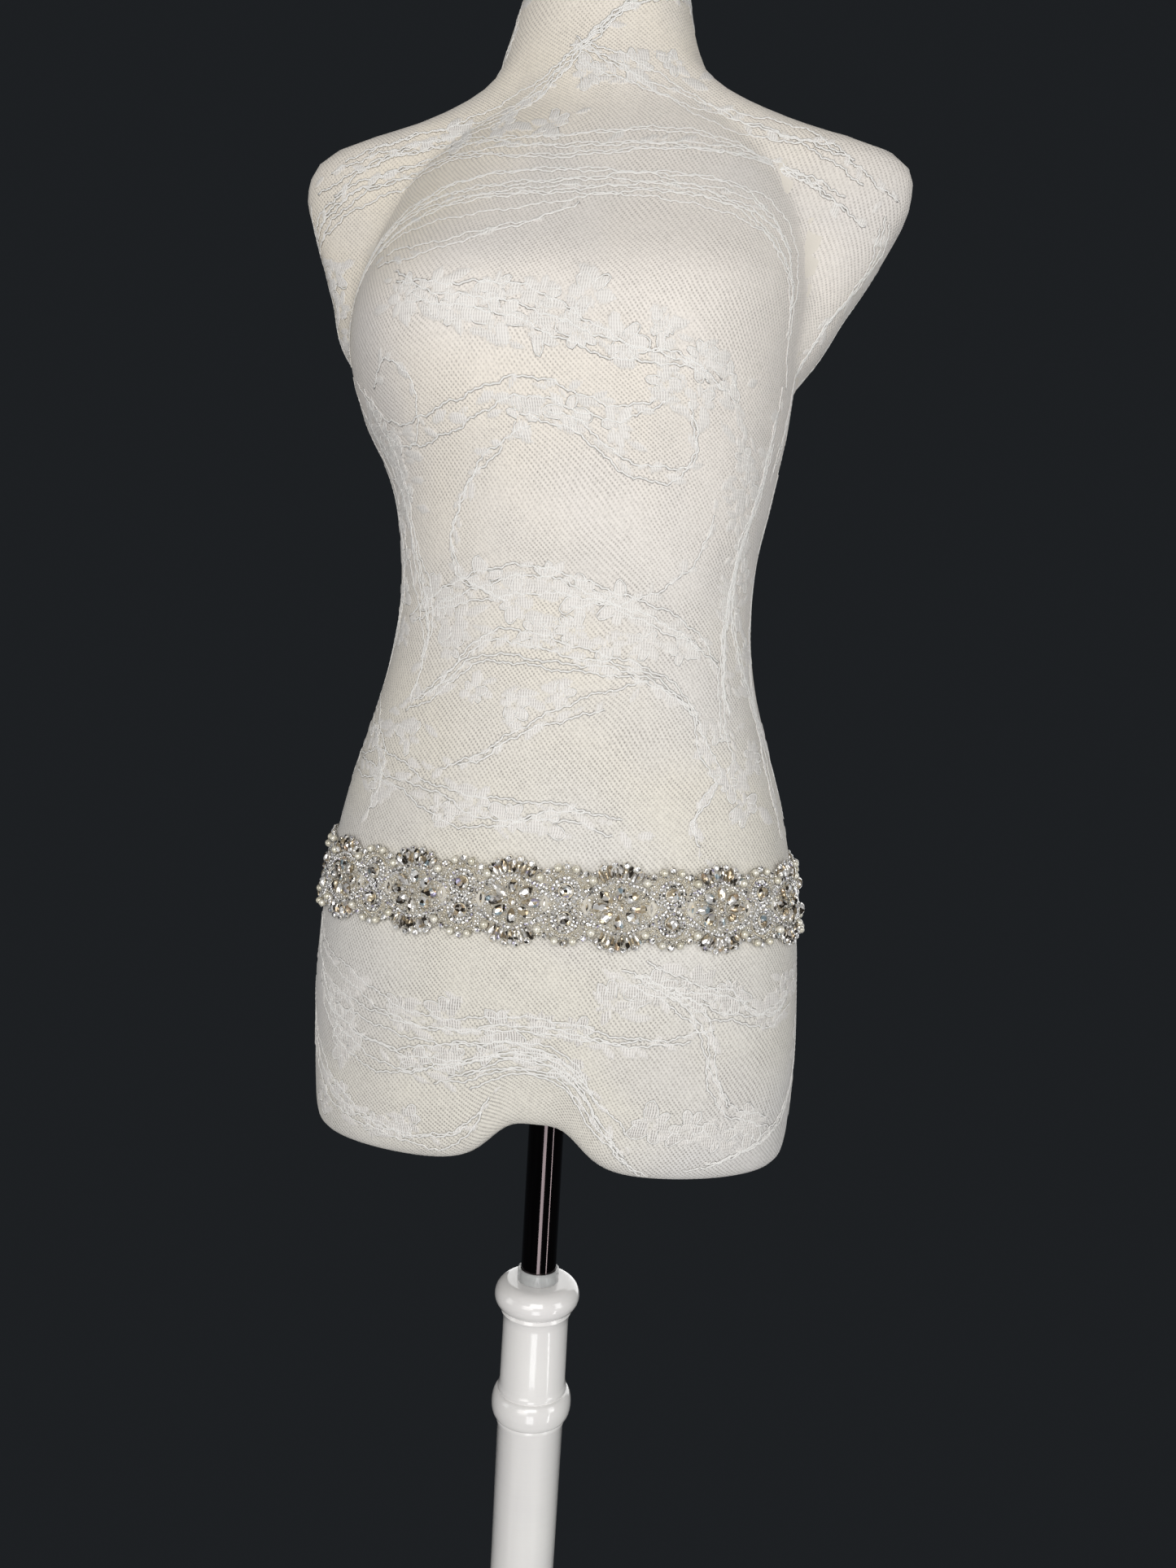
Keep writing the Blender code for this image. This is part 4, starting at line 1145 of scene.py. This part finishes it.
def make_lace():
    """Flower clusters joined by bundles of cords, over the front and over the back."""
    finishes = {"petals": lace_clothwork(), "cords": lace_cord()}
    made = []
    for side, back in (("front", False), ("back", True)):
        petals, cords = Relief(back, 7), Relief(back, 11)
        for cluster in CLUSTERS:
            petals.cluster(*cluster, cords)
        for strands, spread, scraps, route in BUNDLES:
            cords.bundle(strands, spread, route, petals, scraps)
        for kind, relief in (("petals", petals), ("cords", cords)):
            piece = mesh_piece(f"lace_{kind}_{side}", np.vstack(relief.points), relief.faces,
                               [finishes[kind]], maps=np.vstack(relief.maps),
                               edges=np.vstack(relief.edges))
            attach(piece, "figure")
            made.append(piece)
    return made


def band_half_height(along):
    """The backing is cut close round the stones: an arc over each fan, a low crown over each link."""
    place = (along / REPEAT + 0.5) % 1.0 - 0.5
    from_fan = np.abs(place) * REPEAT
    from_link = REPEAT / 2 - from_fan
    fan = np.sqrt(np.maximum(EDGE_RADIUS ** 2 - from_fan ** 2, 0.0))
    crown = EDGE_CORNER + (EDGE_LINK - EDGE_CORNER) * (1.0 - smooth_step(*EDGE_BLEND, from_link))
    return np.maximum(fan, crown)


def wall_piece(name, outer, inner, maps, material):
    """Closed thin wall between two grids of points, with the grid's own map on both faces."""
    rows, columns = outer.shape[:2]
    count = rows * columns
    front = grid_faces(rows, columns)
    back = grid_faces(rows, columns, start=count, turned=True)
    edge = list(range(columns)) + [row * columns + columns - 1 for row in range(1, rows)]
    edge += [(rows - 1) * columns + column for column in range(columns - 2, -1, -1)]
    edge += [row * columns for row in range(rows - 2, 0, -1)]
    rim = [(after, before, count + before, count + after) for before, after in zip(edge, edge[1:] + edge[:1])]
    points = np.vstack([outer.reshape(-1, 3), inner.reshape(-1, 3)])
    spots = np.vstack([maps.reshape(-1, 2)] * 2)
    faces = np.vstack([front, back, np.array(rim)])
    return mesh_piece(name, points, faces.tolist(), [material], maps=spots[faces.ravel()])


def make_backing():
    half = (MEDALLIONS - 1) / 2 * REPEAT + BAND_END
    along = np.linspace(-half, half, 560)
    share = np.linspace(-1.0, 1.0, 9)
    place = np.tile(along[None, :], (len(share), 1))
    up = band_half_height(along)[None, :] * share[:, None]
    crown = BAND_CLEAR + BAND_WALL * (1.0 - 0.25 * share[:, None] ** 8) * np.ones(place.shape)
    piece = wall_piece("backing_band", on_sash(place, up, crown), on_sash(place, up, BAND_CLEAR + 0 * up),
                       np.stack([place, up], axis=-1), satin_felt())
    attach(piece, "figure")
    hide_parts("backing")
    return half


def take_mesh(piece):
    """Points and faces of a template, which is then taken away."""
    points = np.array([vertex.co[:] for vertex in piece.data.vertices])
    faces = [list(polygon.vertices) for polygon in piece.data.polygons]
    mesh = piece.data
    bpy.data.objects.remove(piece, do_unlink=True)
    bpy.data.meshes.remove(mesh)
    return points, faces


def select_top(piece):
    """In edit mode, selects only the faces that lie highest."""
    bpy.ops.mesh.select_all(action="DESELECT")
    bpy.ops.object.mode_set(mode="OBJECT")
    highest = max(vertex.co.z for vertex in piece.data.vertices)
    for polygon in piece.data.polygons:
        polygon.select = all(piece.data.vertices[index].co.z > highest - 1e-5 for index in polygon.vertices)
    bpy.ops.object.mode_set(mode="EDIT")
    bpy.ops.mesh.select_mode(type="FACE")


def cut_stone(sides, girdle, tiers):
    """Faceted stone of radius 1: a low girdle, then tiers of (scale, rise, turn) up to the table."""
    clear_selection()
    bpy.ops.mesh.primitive_cylinder_add(vertices=sides, radius=1.0, depth=girdle, location=(0, 0, girdle / 2))
    piece = bpy.context.object
    bpy.ops.object.transform_apply(location=True, rotation=True, scale=True)
    bpy.ops.object.mode_set(mode="EDIT")
    top = girdle
    for scale, rise, turn in tiers:
        select_top(piece)
        bpy.ops.mesh.extrude_region_move(TRANSFORM_OT_translate={"value": (0, 0, rise)})
        top += rise
        bpy.ops.transform.resize(value=(scale, scale, 1.0), center_override=(0, 0, top))
        if turn:
            bpy.ops.transform.rotate(value=turn, orient_axis="Z", center_override=(0, 0, top))
    bpy.ops.mesh.select_all(action="SELECT")
    bpy.ops.mesh.quads_convert_to_tris(quad_method="SHORTEST_DIAGONAL", ngon_method="CLIP")
    bpy.ops.object.mode_set(mode="OBJECT")
    return take_mesh(piece)


def bead(segments, rings):
    clear_selection()
    bpy.ops.mesh.primitive_uv_sphere_add(segments=segments, ring_count=rings, radius=1.0, location=(0, 0, 0))
    return take_mesh(bpy.context.object)


def cup_ring(segments, thickness):
    clear_selection()
    bpy.ops.mesh.primitive_torus_add(major_segments=segments, minor_segments=4, major_radius=1.0,
                                     minor_radius=thickness, location=(0, 0, 0))
    return take_mesh(bpy.context.object)


def narrowed(stone, taper, point):
    """Stone whose one end is narrowed as a pear's by taper, or both ends as a marquise's by point."""
    shape, faces = stone
    x, y, z = shape.T
    slim = (1.0 - taper * (y + 1.0) / 2.0) * (1.0 - point * np.abs(y) ** 3)
    return np.column_stack([x * slim, y, z]), faces


def squared(stone):
    """Four-sided stone turned so that its sides lie across and upright, 1 from the middle."""
    shape, faces = stone
    x, y, z = shape.T
    return np.column_stack([x - y, x + y, z]), faces


class Setting:
    """Stones and beads of one piece of trim, gathered with their places on the sash."""

    def __init__(self, along, seed):
        self.along = along
        self.draw = random.Random(seed)
        self.placed = []
        self.spots = []

    def put(self, kind, x, y, turn=0.0, width=1.0, length=1.0, height=1.0, lift=0.0, loose=1.0):
        """x and y in millimetres from the middle; turn in radians from upright."""
        play = [loose * self.draw.uniform(-most, most)
                for most in (PLACE_PLAY, PLACE_PLAY, TURN_PLAY, LEAN_PLAY, LEAN_PLAY)]
        self.placed.append((kind, x + play[0], y + play[1], turn + play[2], width, length, height, lift,
                            play[3], play[4]))
        self.spots.append((x, y, 0.5 * (width + length)))

    def row(self, kind, line, size, height, lift=0.0):
        """Small stones at even steps along a line of (x, y) in millimetres."""
        line = np.array(line, dtype=float)
        length = np.concatenate([[0.0], np.cumsum(np.linalg.norm(np.diff(line, axis=0), axis=1))])
        count = max(int(round(length[-1] / (size * 2.1))), 1)
        for step in np.linspace(0.0, length[-1], count + 1):
            x, y = np.interp(step, length, line[:, 0]), np.interp(step, length, line[:, 1])
            self.put(kind, x, y, self.draw.uniform(0, 1), size, size, height, lift)

    def free(self, x, y, reach):
        return all((x - px) ** 2 + (y - py) ** 2 > (reach + pr * 0.82) ** 2 for px, py, pr in self.spots)


def make_templates():
    """Shapes of radius 1 mm by kind, with the mark of their material and whether they are smooth."""
    tenth, eighth, twelfth = math.pi / 10, math.pi / 8, math.pi / 12
    drop = cut_stone(12, 0.26, ((0.80, 0.34, twelfth), (0.48, 0.26, 0.0)))
    return {
        "brilliant": (cut_stone(10, 0.28, ((0.82, 0.34, tenth), (0.62, 0.22, tenth), (0.60, 0.03, 0.0))),
                      0, False),
        "chaton": (cut_stone(8, 0.30, ((0.74, 0.38, eighth), (0.66, 0.12, 0.0))), 1, False),
        "pear": (narrowed(drop, 0.55, 0.10), 0, False),
        "marquise": (narrowed(drop, 0.0, 0.62), 0, False),
        "baguette": (squared(cut_stone(4, 0.30, ((0.74, 0.34, 0.0), (0.55, 0.14, 0.0)))), 0, False),
        "pearl": (bead(16, 9), 2, True),
        "seed": (bead(8, 5), 3, True),
        "ring": (cup_ring(16, 0.075), 3, True),
        "claw": (cut_stone(5, 0.5, ((0.6, 0.3, 0.0),)), 3, False),
    }


def set_trim(name, setting, templates, materials):
    """One joined mesh of every stone and bead of a setting, each stood on the sash's own slope."""
    step = 0.0005
    points, faces, marks, smooth = [], [], [], []
    count = 0
    rows = np.array([item[1:] for item in setting.placed])
    along = setting.along + rows[:, 0] * MM
    up = rows[:, 1] * MM
    here = on_sash(along, up, np.full(len(rows), STONE_BASE))
    forward = on_sash(along + step, up, np.full(len(rows), STONE_BASE)) - here
    forward /= np.linalg.norm(forward, axis=1, keepdims=True)
    outward = on_sash(along, up, np.full(len(rows), STONE_BASE + MM)) - here
    outward /= np.linalg.norm(outward, axis=1, keepdims=True)
    upward = np.cross(outward, forward)
    for index, item in enumerate(setting.placed):
        kind, _, _, turn, width, length, height, lift, lean, nod = item
        (shape, polygons), mark, is_smooth = templates[kind]
        local = shape * (width, length, height)
        local[:, 2] += lift + lean * local[:, 0] + nod * local[:, 1]
        cosine, sine = math.cos(turn), math.sin(turn)
        x = local[:, 0] * cosine - local[:, 1] * sine
        y = local[:, 0] * sine + local[:, 1] * cosine
        placed = (here[index] + MM * (x[:, None] * forward[index] + y[:, None] * upward[index]
                                      + local[:, 2:] * outward[index]))
        points.append(placed)
        faces.extend([[vertex + count for vertex in polygon] for polygon in polygons])
        marks.extend([mark] * len(polygons))
        smooth.extend([is_smooth] * len(polygons))
        count += len(placed)
    piece = mesh_piece(name, np.vstack(points), faces, materials, smooth=smooth, marks=marks)
    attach(piece, "figure")
    return piece


def round_stone(setting, x, y, radius, kind="brilliant", lift=0.8):
    """Round stone in its claw cup."""
    setting.put(kind, x, y, setting.draw.uniform(0, 1), radius, radius, radius * 0.95, lift)
    setting.put("ring", x, y, 0.0, radius * 1.04, radius * 1.04, radius * 1.5, lift + 0.1, loose=0.2)


def pearl_bead(setting, x, y, radius):
    setting.put("pearl", x, y, 0.0, radius, radius, radius, radius * 0.80)
    setting.put("ring", x, y, 0.0, radius * 1.02, radius * 1.02, radius * 1.2, 0.35, loose=0.2)


def round_row(turns, reach, sign):
    """Places on an arc about the flower's middle, above it or below it."""
    return [(reach * math.sin(turn), sign * reach * math.cos(turn)) for turn in turns]


def medallion(setting):
    """Eight-petalled flower, chains arched over and under it, fans above and below, pearls at the corners."""
    for index in range(FLOWER_PETALS):
        turn = 2.0 * math.pi * index / FLOWER_PETALS
        x, y = -FLOWER_REACH[0] * math.sin(turn), FLOWER_REACH[1] * math.cos(turn)
        heading = math.atan2(-x, y)
        length = 0.40 * math.hypot(x, y) + 1.15
        if index % 2 == 0:
            setting.put("pear", x, y, heading + math.pi, 3.7, length, 3.0, 0.9)
        else:
            setting.put("marquise", x, y, heading, 3.0, length, 2.9, 0.9)
        for side in (-1, 1):
            edge = turn + side * CLAW_TURN
            setting.put("claw", -CLAW_REACH[0] * math.sin(edge), CLAW_REACH[1] * math.cos(edge), edge,
                        0.45, 0.45, 2.4)
    round_stone(setting, 0.0, 0.0, 2.2, lift=1.9)
    for index in range(FLOWER_PETALS):
        turn = 2.0 * math.pi * (index + 0.5) / FLOWER_PETALS
        setting.put("seed", -SEED_REACH[0] * math.sin(turn), SEED_REACH[1] * math.cos(turn), 0.0,
                    0.7, 0.7, 0.7, 1.2)
    for side in (-1, 1):
        setting.put("marquise", side * (EYE_MIDDLE * 1000 - 0.6), 0.0, 0.0, 0.75, 2.9, 1.4, 0.3)
    for sign in (-1, 1):
        arch = round_row(np.linspace(-CHAIN_TURN, CHAIN_TURN, 9), CHAIN_REACH, sign)
        setting.row("chaton", arch, 1.12, 1.45, 0.3)
        for side in (-1, 1):
            setting.row("chaton", np.array(CORNER_CHAIN) * (side, sign), 1.08, 1.4, 0.3)
            pearl_bead(setting, side * CORNER_PEARL[0], sign * CORNER_PEARL[1], 2.5)
            setting.row("chaton", np.array(CORNER_ROW) * (side, sign), 1.05, 1.4, 0.3)
        fan(setting, sign)


def fan(setting, sign):
    """Five long drops that spread from the flower, with slim stones between and beads at the rim."""
    for x, y in round_row(FAN_DROP_TURNS, FAN_DROP_REACH, sign):
        setting.put("pear", x, y, math.atan2(-x, y) + math.pi, 2.3, 4.4, 3.0, 0.8)
    for turn in FAN_SLIM_TURNS:
        x, y = math.sin(turn), sign * math.cos(turn)
        setting.put("baguette", FAN_SLIM_REACH * x, FAN_SLIM_REACH * y, -sign * turn, 0.85, 2.8, 2.0, 0.5)
        round_stone(setting, FAN_ROUND_REACH * x, FAN_ROUND_REACH * y, 2.0, "chaton", 1.0)
    for turn in (-FAN_END_TURN, FAN_END_TURN):
        x, y = math.sin(turn), sign * math.cos(turn)
        setting.put("marquise", FAN_END_REACH * x, FAN_END_REACH * y, -sign * turn, 1.5, 2.7, 2.2, 0.5)


def link(setting):
    """Two round stones in haloes, with a row of pearls and a stone above and below."""
    for sign in (-1, 1):
        middle = sign * LINK_STONE_UP
        round_stone(setting, 0.0, middle, 4.1, lift=1.2)
        for count, radius, size in LINK_HALOES:
            for index in range(count):
                turn = 2 * math.pi * (index + 0.5) / count
                x, y = radius * math.sin(turn), middle + radius * math.cos(turn)
                if y * sign > 0.4:
                    setting.put("chaton", x, y, turn, size, size, 1.4, 0.25)
        for side in (-1, 1):
            pearl_bead(setting, side * LINK_PEARL[0], sign * LINK_PEARL[1], 2.25)
        round_stone(setting, 0.0, sign * LINK_TIP, 2.05, "chaton", 0.6)
        wide, high = LINK_ARCH_REACH
        arch = [(wide * math.sin(turn), sign * (LINK_STONE_UP + high * math.cos(turn)))
                for turn in np.linspace(-1.2, 1.2, 15)]
        setting.row("seed", arch, 0.6, 0.6, 0.5)
    setting.put("chaton", 0.0, 0.0, 0.0, 1.15, 1.15, 1.3, 0.4)
    for side in (-1, 1):
        for sign in (-1, 1):
            round_stone(setting, side * LINK_CORNER[0], sign * LINK_CORNER[1], 2.05, "chaton", 0.5)


def fill_gaps(setting, tries, half_width, half_height, keep):
    """Tiny silver and clear beads in what is left of the ground."""
    draw = setting.draw
    for _ in range(tries):
        x, y = draw.uniform(-half_width, half_width), draw.uniform(-half_height, half_height)
        size = draw.choice((0.62, 0.72, 0.85))
        if keep(x, y) and setting.free(x, y, size):
            setting.put(draw.choice(("seed", "chaton", "chaton")), x, y, 0.0, size, size, size * 1.1, 0.35)


def medallion_ground(x, y):
    """Where filling beads may sit: not on the bare eyes beside the flower, and inside the cut edge."""
    eye = abs(abs(x) - EYE_MIDDLE * 1000) / (EYE_HALF_WIDTH * 1000) + abs(y) / (EYE_HALF_HEIGHT * 1000)
    return eye > 1.0 and math.hypot(x, y) < MEDALLION_FILL[2] and abs(x) < MEDALLION_FILL[1]


def make_trim():
    templates = make_templates()
    materials = [foiled_crystal("clear_crystal", 0.0030, 0.60, CLEAR_TINTS_AND_REFLECTIONS, 0.06),
                 foiled_crystal("bright_crystal", 0.0012, 0.70, BRIGHT_TINTS_AND_REFLECTIONS, 0.08),
                 pearl_lustre(), silver_cup()]
    first = -(MEDALLIONS - 1) / 2 * REPEAT
    for index in range(MEDALLIONS):
        setting = Setting(first + index * REPEAT, 100 + index)
        medallion(setting)
        fill_gaps(setting, *MEDALLION_FILL, medallion_ground)
        piece = set_trim(f"medallion_trim_{index + 1:02d}", setting, templates, materials)
        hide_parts(f"medallion_{index + 1:02d}")
    for index in range(MEDALLIONS - 1):
        setting = Setting(first + (index + 0.5) * REPEAT, 300 + index)
        link(setting)
        fill_gaps(setting, *LINK_FILL, lambda x, y: abs(x) < LINK_FILL[1])
        piece = set_trim(f"link_trim_{index + 1:02d}", setting, templates, materials)
        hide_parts(f"link_{index + 1:02d}")


def make_ribbon(band_half):
    """Satin ribbon from the sash's ends to the knot at the back, and its two tails."""
    material = satin()
    back = HIP_GIRTH / 2.0
    share = np.linspace(0.0, 1.0, 40)[None, :]
    across = np.linspace(0.0, 1.0, 49)[:, None]
    for side, name, node in ((-1, "satin_left", "ribbon_left"), (1, "satin_right", "ribbon_right")):
        start, end = band_half + TOUCH_GAP, back - KNOT_HALF_WIDTH * 0.8
        width = RIBBON_WIDTH + (GATHERED_WIDTH - RIBBON_WIDTH) * smooth_step(0.2, 1.0, share)
        up = width * (across - 0.5)
        gather = GATHER_DEPTH * share * (0.5 - 0.5 * np.cos(6.0 * math.pi * across))
        crease = 0.0003 * share * np.sin(across * 41.0 + share * 9.0)
        out = BAND_CLEAR + gather + RIBBON_LIFT * share + crease + TOUCH_GAP
        place = side * (start + (end - start) * share) + 0.0 * across
        maps = np.stack([place, RIBBON_WIDTH * (across - 0.5) + 0.0 * share], axis=-1)
        outer, inner = on_sash(place, up, out + 0.0007), on_sash(place, up, out)
        if side < 0:
            outer, inner, maps = outer[:, ::-1], inner[:, ::-1], maps[:, ::-1]
        piece = wall_piece(name, outer, inner, maps, material)
        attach(piece, "figure")
        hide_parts(node)
    make_knot(back, material)
    make_tails(back, material)


def make_knot(back, material):
    """Wrapped knot: a crowned pad with folds turning round it."""
    turns = np.linspace(0.0, 2.0 * math.pi, 73)[:-1]
    rings = []
    limit = rounded(np.cos(turns), np.sin(turns), KNOT_HALF_WIDTH, KNOT_HALF_HEIGHT)
    for level, reach in ((0.0, 0.5), (0.0, 0.92), (0.0012, 0.99)):
        rings.append(on_sash(back + reach * limit * np.cos(turns), reach * limit * np.sin(turns),
                             np.full(turns.shape, KNOT_UNDER + level)))
    for lift in np.linspace(0.0, 1.0, 14):
        reach = math.cos(lift * math.pi / 2) * 0.985 + 0.012
        x, y = reach * limit * np.cos(turns), reach * limit * np.sin(turns)
        fold = 0.0006 * np.sin(x * 900.0 + 0.6 * np.sin(y * 500.0)) * (0.4 + 0.6 * math.sin(lift * math.pi))
        out = KNOT_UNDER + 0.0035 + (KNOT_DEPTH - 0.0042) * math.sin(lift * math.pi / 2) + fold
        rings.append(on_sash(back + x, y, out))
    rings = np.array(rings)
    count = len(turns)
    ends = [on_sash(np.array([back]), np.array([0.0]), np.array([out]))[0]
            for out in (KNOT_UNDER, KNOT_UNDER + KNOT_DEPTH - 0.0006)]
    points = np.vstack([rings.reshape(-1, 3), ends])
    faces = grid_faces(len(rings), count, closed=True)
    tip = len(rings) * count
    low = [((index + 1) % count, index, tip) for index in range(count)]
    high = [(tip - count + index, tip - count + (index + 1) % count, tip + 1) for index in range(count)]
    spots = np.column_stack([np.tile(turns, len(rings)) * 0.01,
                             np.repeat(np.linspace(-0.012, 0.012, len(rings)), count)])
    spots = np.vstack([spots, [(0.0, -0.012), (0.0, 0.012)]])
    polygons = faces.tolist() + low + high
    corners = np.concatenate([np.asarray(polygon) for polygon in polygons])
    piece = mesh_piece("satin_knot", points, polygons, [material], maps=spots[corners])
    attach(piece, "figure")
    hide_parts("knot")


def make_tails(back, material):
    """Two tails that hang from under the knot, pleated at the top, slanting apart, cut on the slant."""
    knot = on_sash(np.array([back]), np.array([0.0]), np.array([KNOT_UNDER]))[0]
    down = np.linspace(0.0, 1.0, 60)[:, None]
    side_share = np.linspace(0.0, 1.0, 33)[None, :]
    for side, name, node in ((-1, "satin_tail_left", "tail_left"), (1, "satin_tail_right", "tail_right")):
        width = TAIL_TOP_WIDTH + (RIBBON_WIDTH - TAIL_TOP_WIDTH) * smooth_step(0.0, 0.5, down)
        middle = TAIL_TOP_WIDTH * 0.6 + TAIL_SPREAD * smooth_step(0.0, 1.0, down)
        length = TAIL_LENGTH + TAIL_SLANT * (side_share - 0.5) * side
        fold = TAIL_FOLD * (1.0 - down) * (0.5 + 0.5 * np.cos(4.0 * math.pi * side_share))
        ripple = 0.0007 * np.sin(side_share * 9.0 + down * 5.0 + side) * down
        across = np.maximum(middle + side * width * (side_share - 0.5), TOUCH_GAP)
        depth = knot[1] + TAIL_CLEAR + fold + TAIL_FOLD * np.sin(math.pi * down) + ripple + 0.0002
        reach = np.minimum(across / KNOT_HALF_WIDTH, 0.98)
        oval = KNOT_HALF_HEIGHT * (1.0 - reach ** SQUARENESS) ** (1.0 / SQUARENESS)
        top = SASH_MIDDLE - oval - TOUCH_GAP
        x = knot[0] + side * across
        z = top - length * down
        inner = np.stack([x, depth, z], axis=-1)
        outer = np.stack([x, depth + SATIN_WALL, z], axis=-1)
        maps = np.stack([0.0 * side_share + TAIL_LENGTH * down, RIBBON_WIDTH * (side_share - 0.5) + 0 * down],
                        axis=-1)
        piece = wall_piece(name, outer, inner, maps, material)
        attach(piece, "figure")
        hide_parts(node)


# Name, place, height of the target on the axis, size, power, colour
LIGHTS = (
    ("key", (0.22, -1.42, 1.44), 1.18, (0.9, 0.9), 13.4, (1.0, 0.985, 0.965)),
    ("front", (-0.40, -1.6, 1.02), 1.00, (0.8, 0.8), 6.8, (1.0, 0.98, 0.96)),
    ("left", (-1.5, -0.6, 1.05), 0.95, (0.5, 0.9), 2.6, (1.0, 1.0, 1.0)),
    ("right", (1.5, -0.6, 1.05), 0.95, (0.5, 1.0), 5.8, (1.0, 1.0, 1.0)),
    ("back", (0.3, 2.0, 1.25), 1.05, (2.2, 2.2), 27.0, (1.0, 1.0, 1.0)),
    ("low", (0.17, -1.34, 0.08), 0.66, (0.46, 0.72), 3.4, (0.97, 0.98, 1.0)),
    ("low_strip", (1.17, -0.68, 0.08), 0.66, (0.08, 0.72), 1.2, (1.0, 1.0, 1.0)),
)


def soft_light(name, place, target_height, size, power, colour):
    data = bpy.data.lights.new(name, "AREA")
    data.shape = "RECTANGLE"
    data.size, data.size_y = size
    data.energy = power
    data.color = colour
    light = bpy.data.objects.new(name, data)
    light.location = place
    light.rotation_mode = "QUATERNION"
    light.rotation_quaternion = (Vector((0.0, 0.0, target_height)) - light.location).to_track_quat("-Z", "Y")
    bpy.context.collection.objects.link(light)


def make_studio():
    clear_selection()
    bpy.ops.mesh.primitive_grid_add(x_subdivisions=8, y_subdivisions=8, size=FLOOR_SIZE, location=(0, 0, 0))
    ground = bpy.context.object
    ground.name = "floor"
    ground.data.materials.append(pale_floor())
    world = bpy.data.worlds.new("studio")
    world.use_nodes = True
    world.node_tree.nodes["Background"].inputs["Color"].default_value = BACKDROP
    bpy.context.scene.world = world
    for light in LIGHTS:
        soft_light(*light)
    bpy.context.scene.view_settings.view_transform = "Standard"


def make_camera():
    data = bpy.data.cameras.new("camera")
    data.sensor_width = SENSOR
    data.lens = SENSOR * FOCAL_PIXELS / PHOTO_HEIGHT
    data.clip_start = 0.05
    camera = bpy.data.objects.new("camera", data)
    bpy.context.collection.objects.link(camera)
    azimuth = math.radians(CAMERA_AZIMUTH)
    eye = Vector((CAMERA_DISTANCE * math.sin(azimuth), -CAMERA_DISTANCE * math.cos(azimuth), CAMERA_HEIGHT))
    heading = math.atan2(-eye.x, -eye.y) + math.radians(CAMERA_YAW)
    pitch = math.radians(CAMERA_PITCH)
    level = math.cos(pitch)
    forward = Vector((math.sin(heading) * level, math.cos(heading) * level, -math.sin(pitch)))
    right = forward.cross(Vector((0, 0, 1))).normalized()
    up = right.cross(forward)
    roll = math.radians(CAMERA_ROLL)
    image_right = right * math.cos(roll) + up * math.sin(roll)
    image_up = up * math.cos(roll) - right * math.sin(roll)
    turned_view = Matrix((image_right, image_up, -forward)).transposed().to_4x4()
    camera.matrix_world = Matrix.Translation(eye) @ turned_view
    bpy.context.scene.camera = camera


make_camera()
make_studio()
make_stand()
cover = make_form()
make_lace()
make_ribbon(make_backing())
make_trim()
